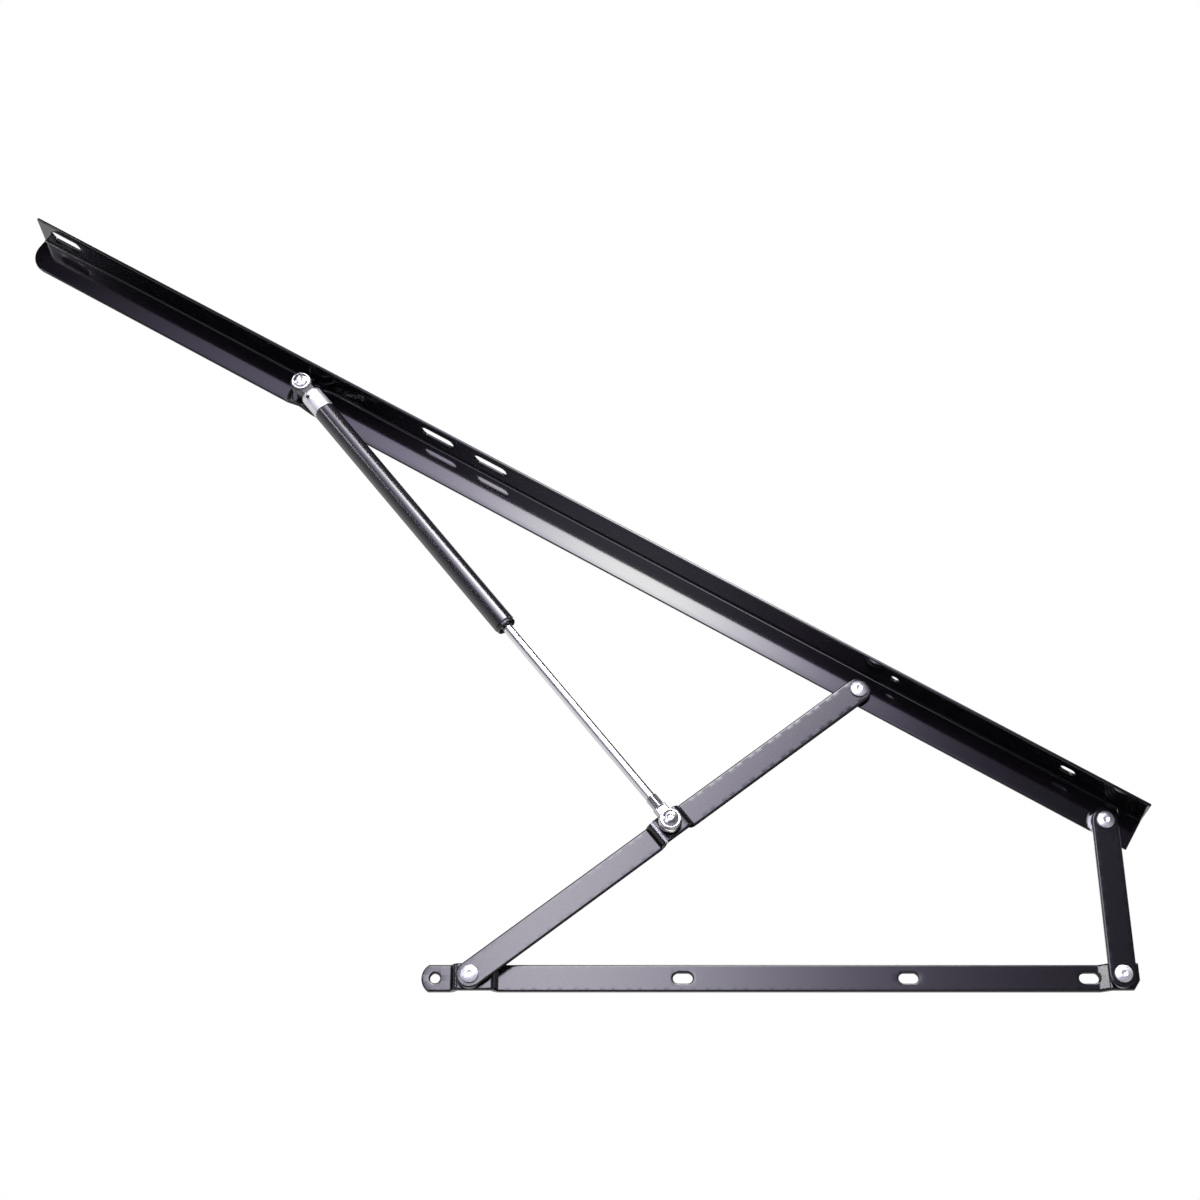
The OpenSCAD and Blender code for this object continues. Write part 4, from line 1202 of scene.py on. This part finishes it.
class BEDLIFT_OT_inner_pieces(Operator):
    """Finishes of the CAD pieces that stay as they are, most of them inside the gas spring"""

    bl_idname = "bed_lift.inner_pieces"
    bl_label = "Inner pieces"

    def execute(self, context):
        for name, node in frame["nodes"].items():
            if not node.hide_render:
                node.data.materials.clear()
                node.data.materials.append(finish_of(name))
        return {"FINISHED"}


# Stage
def new_object(name, data, location, rotation):
    """A light or camera in its place."""
    item = bpy.data.objects.new(name, data)
    bpy.context.scene.collection.objects.link(item)
    item.location, item.rotation_euler = location, rotation
    return item


def stage_sheet(name, corners, finish):
    """A flat sheet of the stage, which isn't part of the object."""
    mesh = bpy.data.meshes.new(name)
    mesh.from_pydata(corners, [], [(0, 1, 2, 3)])
    mesh.materials.append(finish)
    sheet = bpy.data.objects.new(name, mesh)
    bpy.context.scene.collection.objects.link(sheet)
    return sheet


def floor_finish():
    """Painted floor of a studio: pale grey, with clouds of tone 300 mm wide."""
    material, tree = new_finish("pale_studio_floor")
    place = add(tree, "TexCoord").outputs["Object"]
    clouds = add(tree, "TexNoise", {"Vector": place, "Scale": per_metre(300.0)})
    mix = {0: clouds, 6: shade(linear("#e4e4e4")), 7: shade(linear("#ececeb"))}
    end_finish(tree, add(tree, "Mix", mix, data_type="RGBA"), 0.8)
    return material


def softbox_finish(strength, tint):
    """Light of the softbox, brightest along a line that leans to the right higher up. To each side
    of it the light falls off as a bell curve, exp(-((x - line) / spread)^2 / 2), from white to a
    faint tint. The line is dimmer at its foot and brighter at its head, and the box fades at its
    lower and left ends and in its lower left corner. Soft spots stand for pale things beside it:
    each fades smoothly from its middle to nothing at its reach."""
    material, tree = new_finish("softbox_cloth")
    place = add(tree, "TexCoord").outputs["Object"]
    split = add(tree, "SeparateXYZ", {"Vector": place})
    x, z = split.outputs["X"], split.outputs["Z"]
    lean = add(tree, "MapRange", (z, 1.0, 1.35, 0.0, 0.26))
    high_lean = add(tree, "MapRange", (z, 1.4, 2.4, 0.0, 0.52))
    line = add(tree, "Math", (lean, high_lean), operation="ADD")
    narrow = add(tree, "MapRange", (z, 0.5, 1.35, 0.375, 0.31))
    wide = add(tree, "MapRange", (z, 1.4, 2.1, 0.0, 0.1))
    spread = add(tree, "Math", (narrow, wide), operation="ADD")
    off = add(tree, "Math", (x, line), operation="SUBTRACT")
    off = add(tree, "Math", (off, spread), operation="DIVIDE")
    square = add(tree, "Math", (off, off), operation="MULTIPLY")
    fall = add(tree, "Math", (square, -0.5), operation="MULTIPLY")
    bell = add(tree, "Math", (math.e, fall), operation="POWER")
    tail = add(tree, "MapRange", (x, -1.0, 0.9, 0.0, 0.016))
    level = add(tree, "Math", (bell, tail), operation="ADD")
    foot = add(tree, "MapRange", (z, 0.85, 1.5, 0.6, 1.0))
    head = add(tree, "MapRange", (z, 1.5, 2.2, 1.0, 1.75))
    lower_end = add(tree, "MapRange", (z, 0.1, 0.35, 0.0, 1.0))
    left_end = add(tree, "MapRange", (x, -1.25, -0.75, 0.0, 1.0))
    lower_left = add(tree, "MapRange", (x, -0.25, -0.11, 0.4, 1.05))
    above = add(tree, "MapRange", (z, 0.65, 0.85, 0.0, 1.0))
    corner = add(tree, "Math", (lower_left, above), operation="MAXIMUM")
    for share in (foot, head, lower_end, left_end, corner):
        level = add(tree, "Math", (level, share), operation="MULTIPLY")
    for middle, bright, reach in SOFTBOX_SPOTS:
        away = add(tree, "VectorMath", (place, middle), operation="DISTANCE").outputs["Value"]
        fade = (away, 0.0, reach, bright, 0.0)
        fade = add(tree, "MapRange", fade, interpolation_type="SMOOTHSTEP")
        level = add(tree, "Math", (level, fade), operation="ADD")
    ramp = add(tree, "ValToRGB", (level,))
    ramp.color_ramp.elements[0].color = shade(tint)
    ramp.color_ramp.elements[1].color = shade(linear("#ffffff"))
    level = add(tree, "Math", (level, strength), operation="MULTIPLY")
    add(tree, "OutputMaterial", {"Surface": add(tree, "Emission", (ramp, level))})
    return material


def set_world():
    """White where the camera looks straight at it. For light and reflections it is a dark room
    with a pale wall behind the object, which reaches lower down on its left than on its right, and
    three pale things whose light grows with the cosine of the angle to their direction."""
    world = bpy.data.worlds.new("studio")
    bpy.context.scene.world = world
    world.use_nodes = True
    tree = world.node_tree
    tree.nodes.clear()
    way_out = add(tree, "TexCoord").outputs["Generated"]
    split = add(tree, "SeparateXYZ", (way_out,))
    x, y, z = (split.outputs[axis] for axis in "XYZ")
    lean = add(tree, "Math", (x, 0.6), operation="MULTIPLY")
    height = add(tree, "Math", (z, lean), operation="SUBTRACT")
    # The wall's brightness, from the dark room at its foot to white, and from front to back
    level = add(tree, "MapRange", (height, 0.05, 0.3, 0.03, 1.0))
    behind = add(tree, "MapRange", (y, -0.2, 0.5, 0.08, 0.9))
    strength = add(tree, "Math", (level, behind), operation="MULTIPLY")
    for direction, start, bright in ROOM_GLOWS:
        cosine = add(tree, "VectorMath", (way_out, direction), operation="DOT_PRODUCT")
        glow = add(tree, "MapRange", (cosine.outputs["Value"], start, 0.95, 0.0, bright))
        strength = add(tree, "Math", (strength, glow), operation="ADD")
    room = add(tree, "Background", {"Strength": strength})
    backdrop = add(tree, "Background", {"Color": (1, 1, 1, 1), "Strength": 1.0})
    straight = add(tree, "LightPath").outputs["Is Camera Ray"]
    both = add(tree, "MixShader", (straight, room, backdrop))
    add(tree, "OutputWorld", {"Surface": both})


class BEDLIFT_OT_stage(Operator):
    """Camera, softbox, fill lights, world and floor"""

    bl_idname = "bed_lift.stage"
    bl_label = "Stage"

    def execute(self, context):
        stage = settings("stage")
        camera = bpy.data.cameras.new("camera")
        camera.lens, camera.sensor_width, camera.sensor_fit = stage.lens, 36.0, "AUTO"
        camera.clip_end = 50.0
        context.scene.camera = new_object("camera", camera, CAMERA_PLACE, CAMERA_TURN)
        context.scene.view_settings.view_transform = "Standard"
        side, level = FLOOR_SIDE, stage.floor * METRES
        corners = [(x, y, level) for x, y in ((-side, -side), (side, -side), (side, side), (-side, side))]
        stage_sheet("floor", corners, floor_finish()).visible_glossy = False
        left, right, y, foot, head = SOFTBOX_FRAME
        corners = [(left, y, foot), (right, y, foot), (right, y, head), (left, y, head)]
        finish = softbox_finish(stage.softbox, stage.softbox_tint)
        stage_sheet("softbox", corners, finish).visible_camera = False
        for name, energy, size, location in FILL_LIGHTS:
            light = bpy.data.lights.new(name, "AREA")
            light.energy, light.size = energy, size
            aim = Vector(FILL_TARGET) - Vector(location)
            new_object(name, light, location, aim.to_track_quat("-Z", "Y").to_euler())
        set_world()
        return {"FINISHED"}


OPERATORS = (
    BEDLIFT_OT_stage,
    BEDLIFT_OT_lower_bar,
    BEDLIFT_OT_arms,
    BEDLIFT_OT_top_rail,
    BEDLIFT_OT_rivets,
    BEDLIFT_OT_spring_bolts,
    BEDLIFT_OT_gas_tube,
    BEDLIFT_OT_piston_rod,
    BEDLIFT_OT_inner_pieces,
)


class BEDLIFT_PT_panel(Panel):
    """Sidebar panel with the sizes, the finishes and a button for each piece"""

    bl_idname = "BEDLIFT_PT_panel"
    bl_label = "Bed lift mechanism"
    bl_space_type = "VIEW_3D"
    bl_region_type = "UI"
    bl_category = "Bed Lift"

    def draw(self, context):
        for operator in OPERATORS:
            self.layout.operator(operator.bl_idname)
        for name, group in SETTINGS.items():
            box = self.layout.box()
            box.label(text=name.capitalize())
            for field in group.__annotations__:
                box.prop(getattr(context.scene, PREFIX + name), field)


def register():
    """Registers the settings, the operators and the panel."""
    for name, group in SETTINGS.items():
        bpy.utils.register_class(group)
        setattr(bpy.types.Scene, PREFIX + name, PointerProperty(type=group))
    for kind in (*OPERATORS, BEDLIFT_PT_panel):
        bpy.utils.register_class(kind)


def unregister():
    """Takes away what register added."""
    for kind in (BEDLIFT_PT_panel, *reversed(OPERATORS)):
        bpy.utils.unregister_class(kind)
    for name, group in reversed(SETTINGS.items()):
        delattr(bpy.types.Scene, PREFIX + name)
        bpy.utils.unregister_class(group)


def main():
    """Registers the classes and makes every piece."""
    register()
    for operator in OPERATORS:
        group, name = operator.bl_idname.split(".")
        getattr(getattr(bpy.ops, group), name)()


if __name__ == "__main__":
    main()
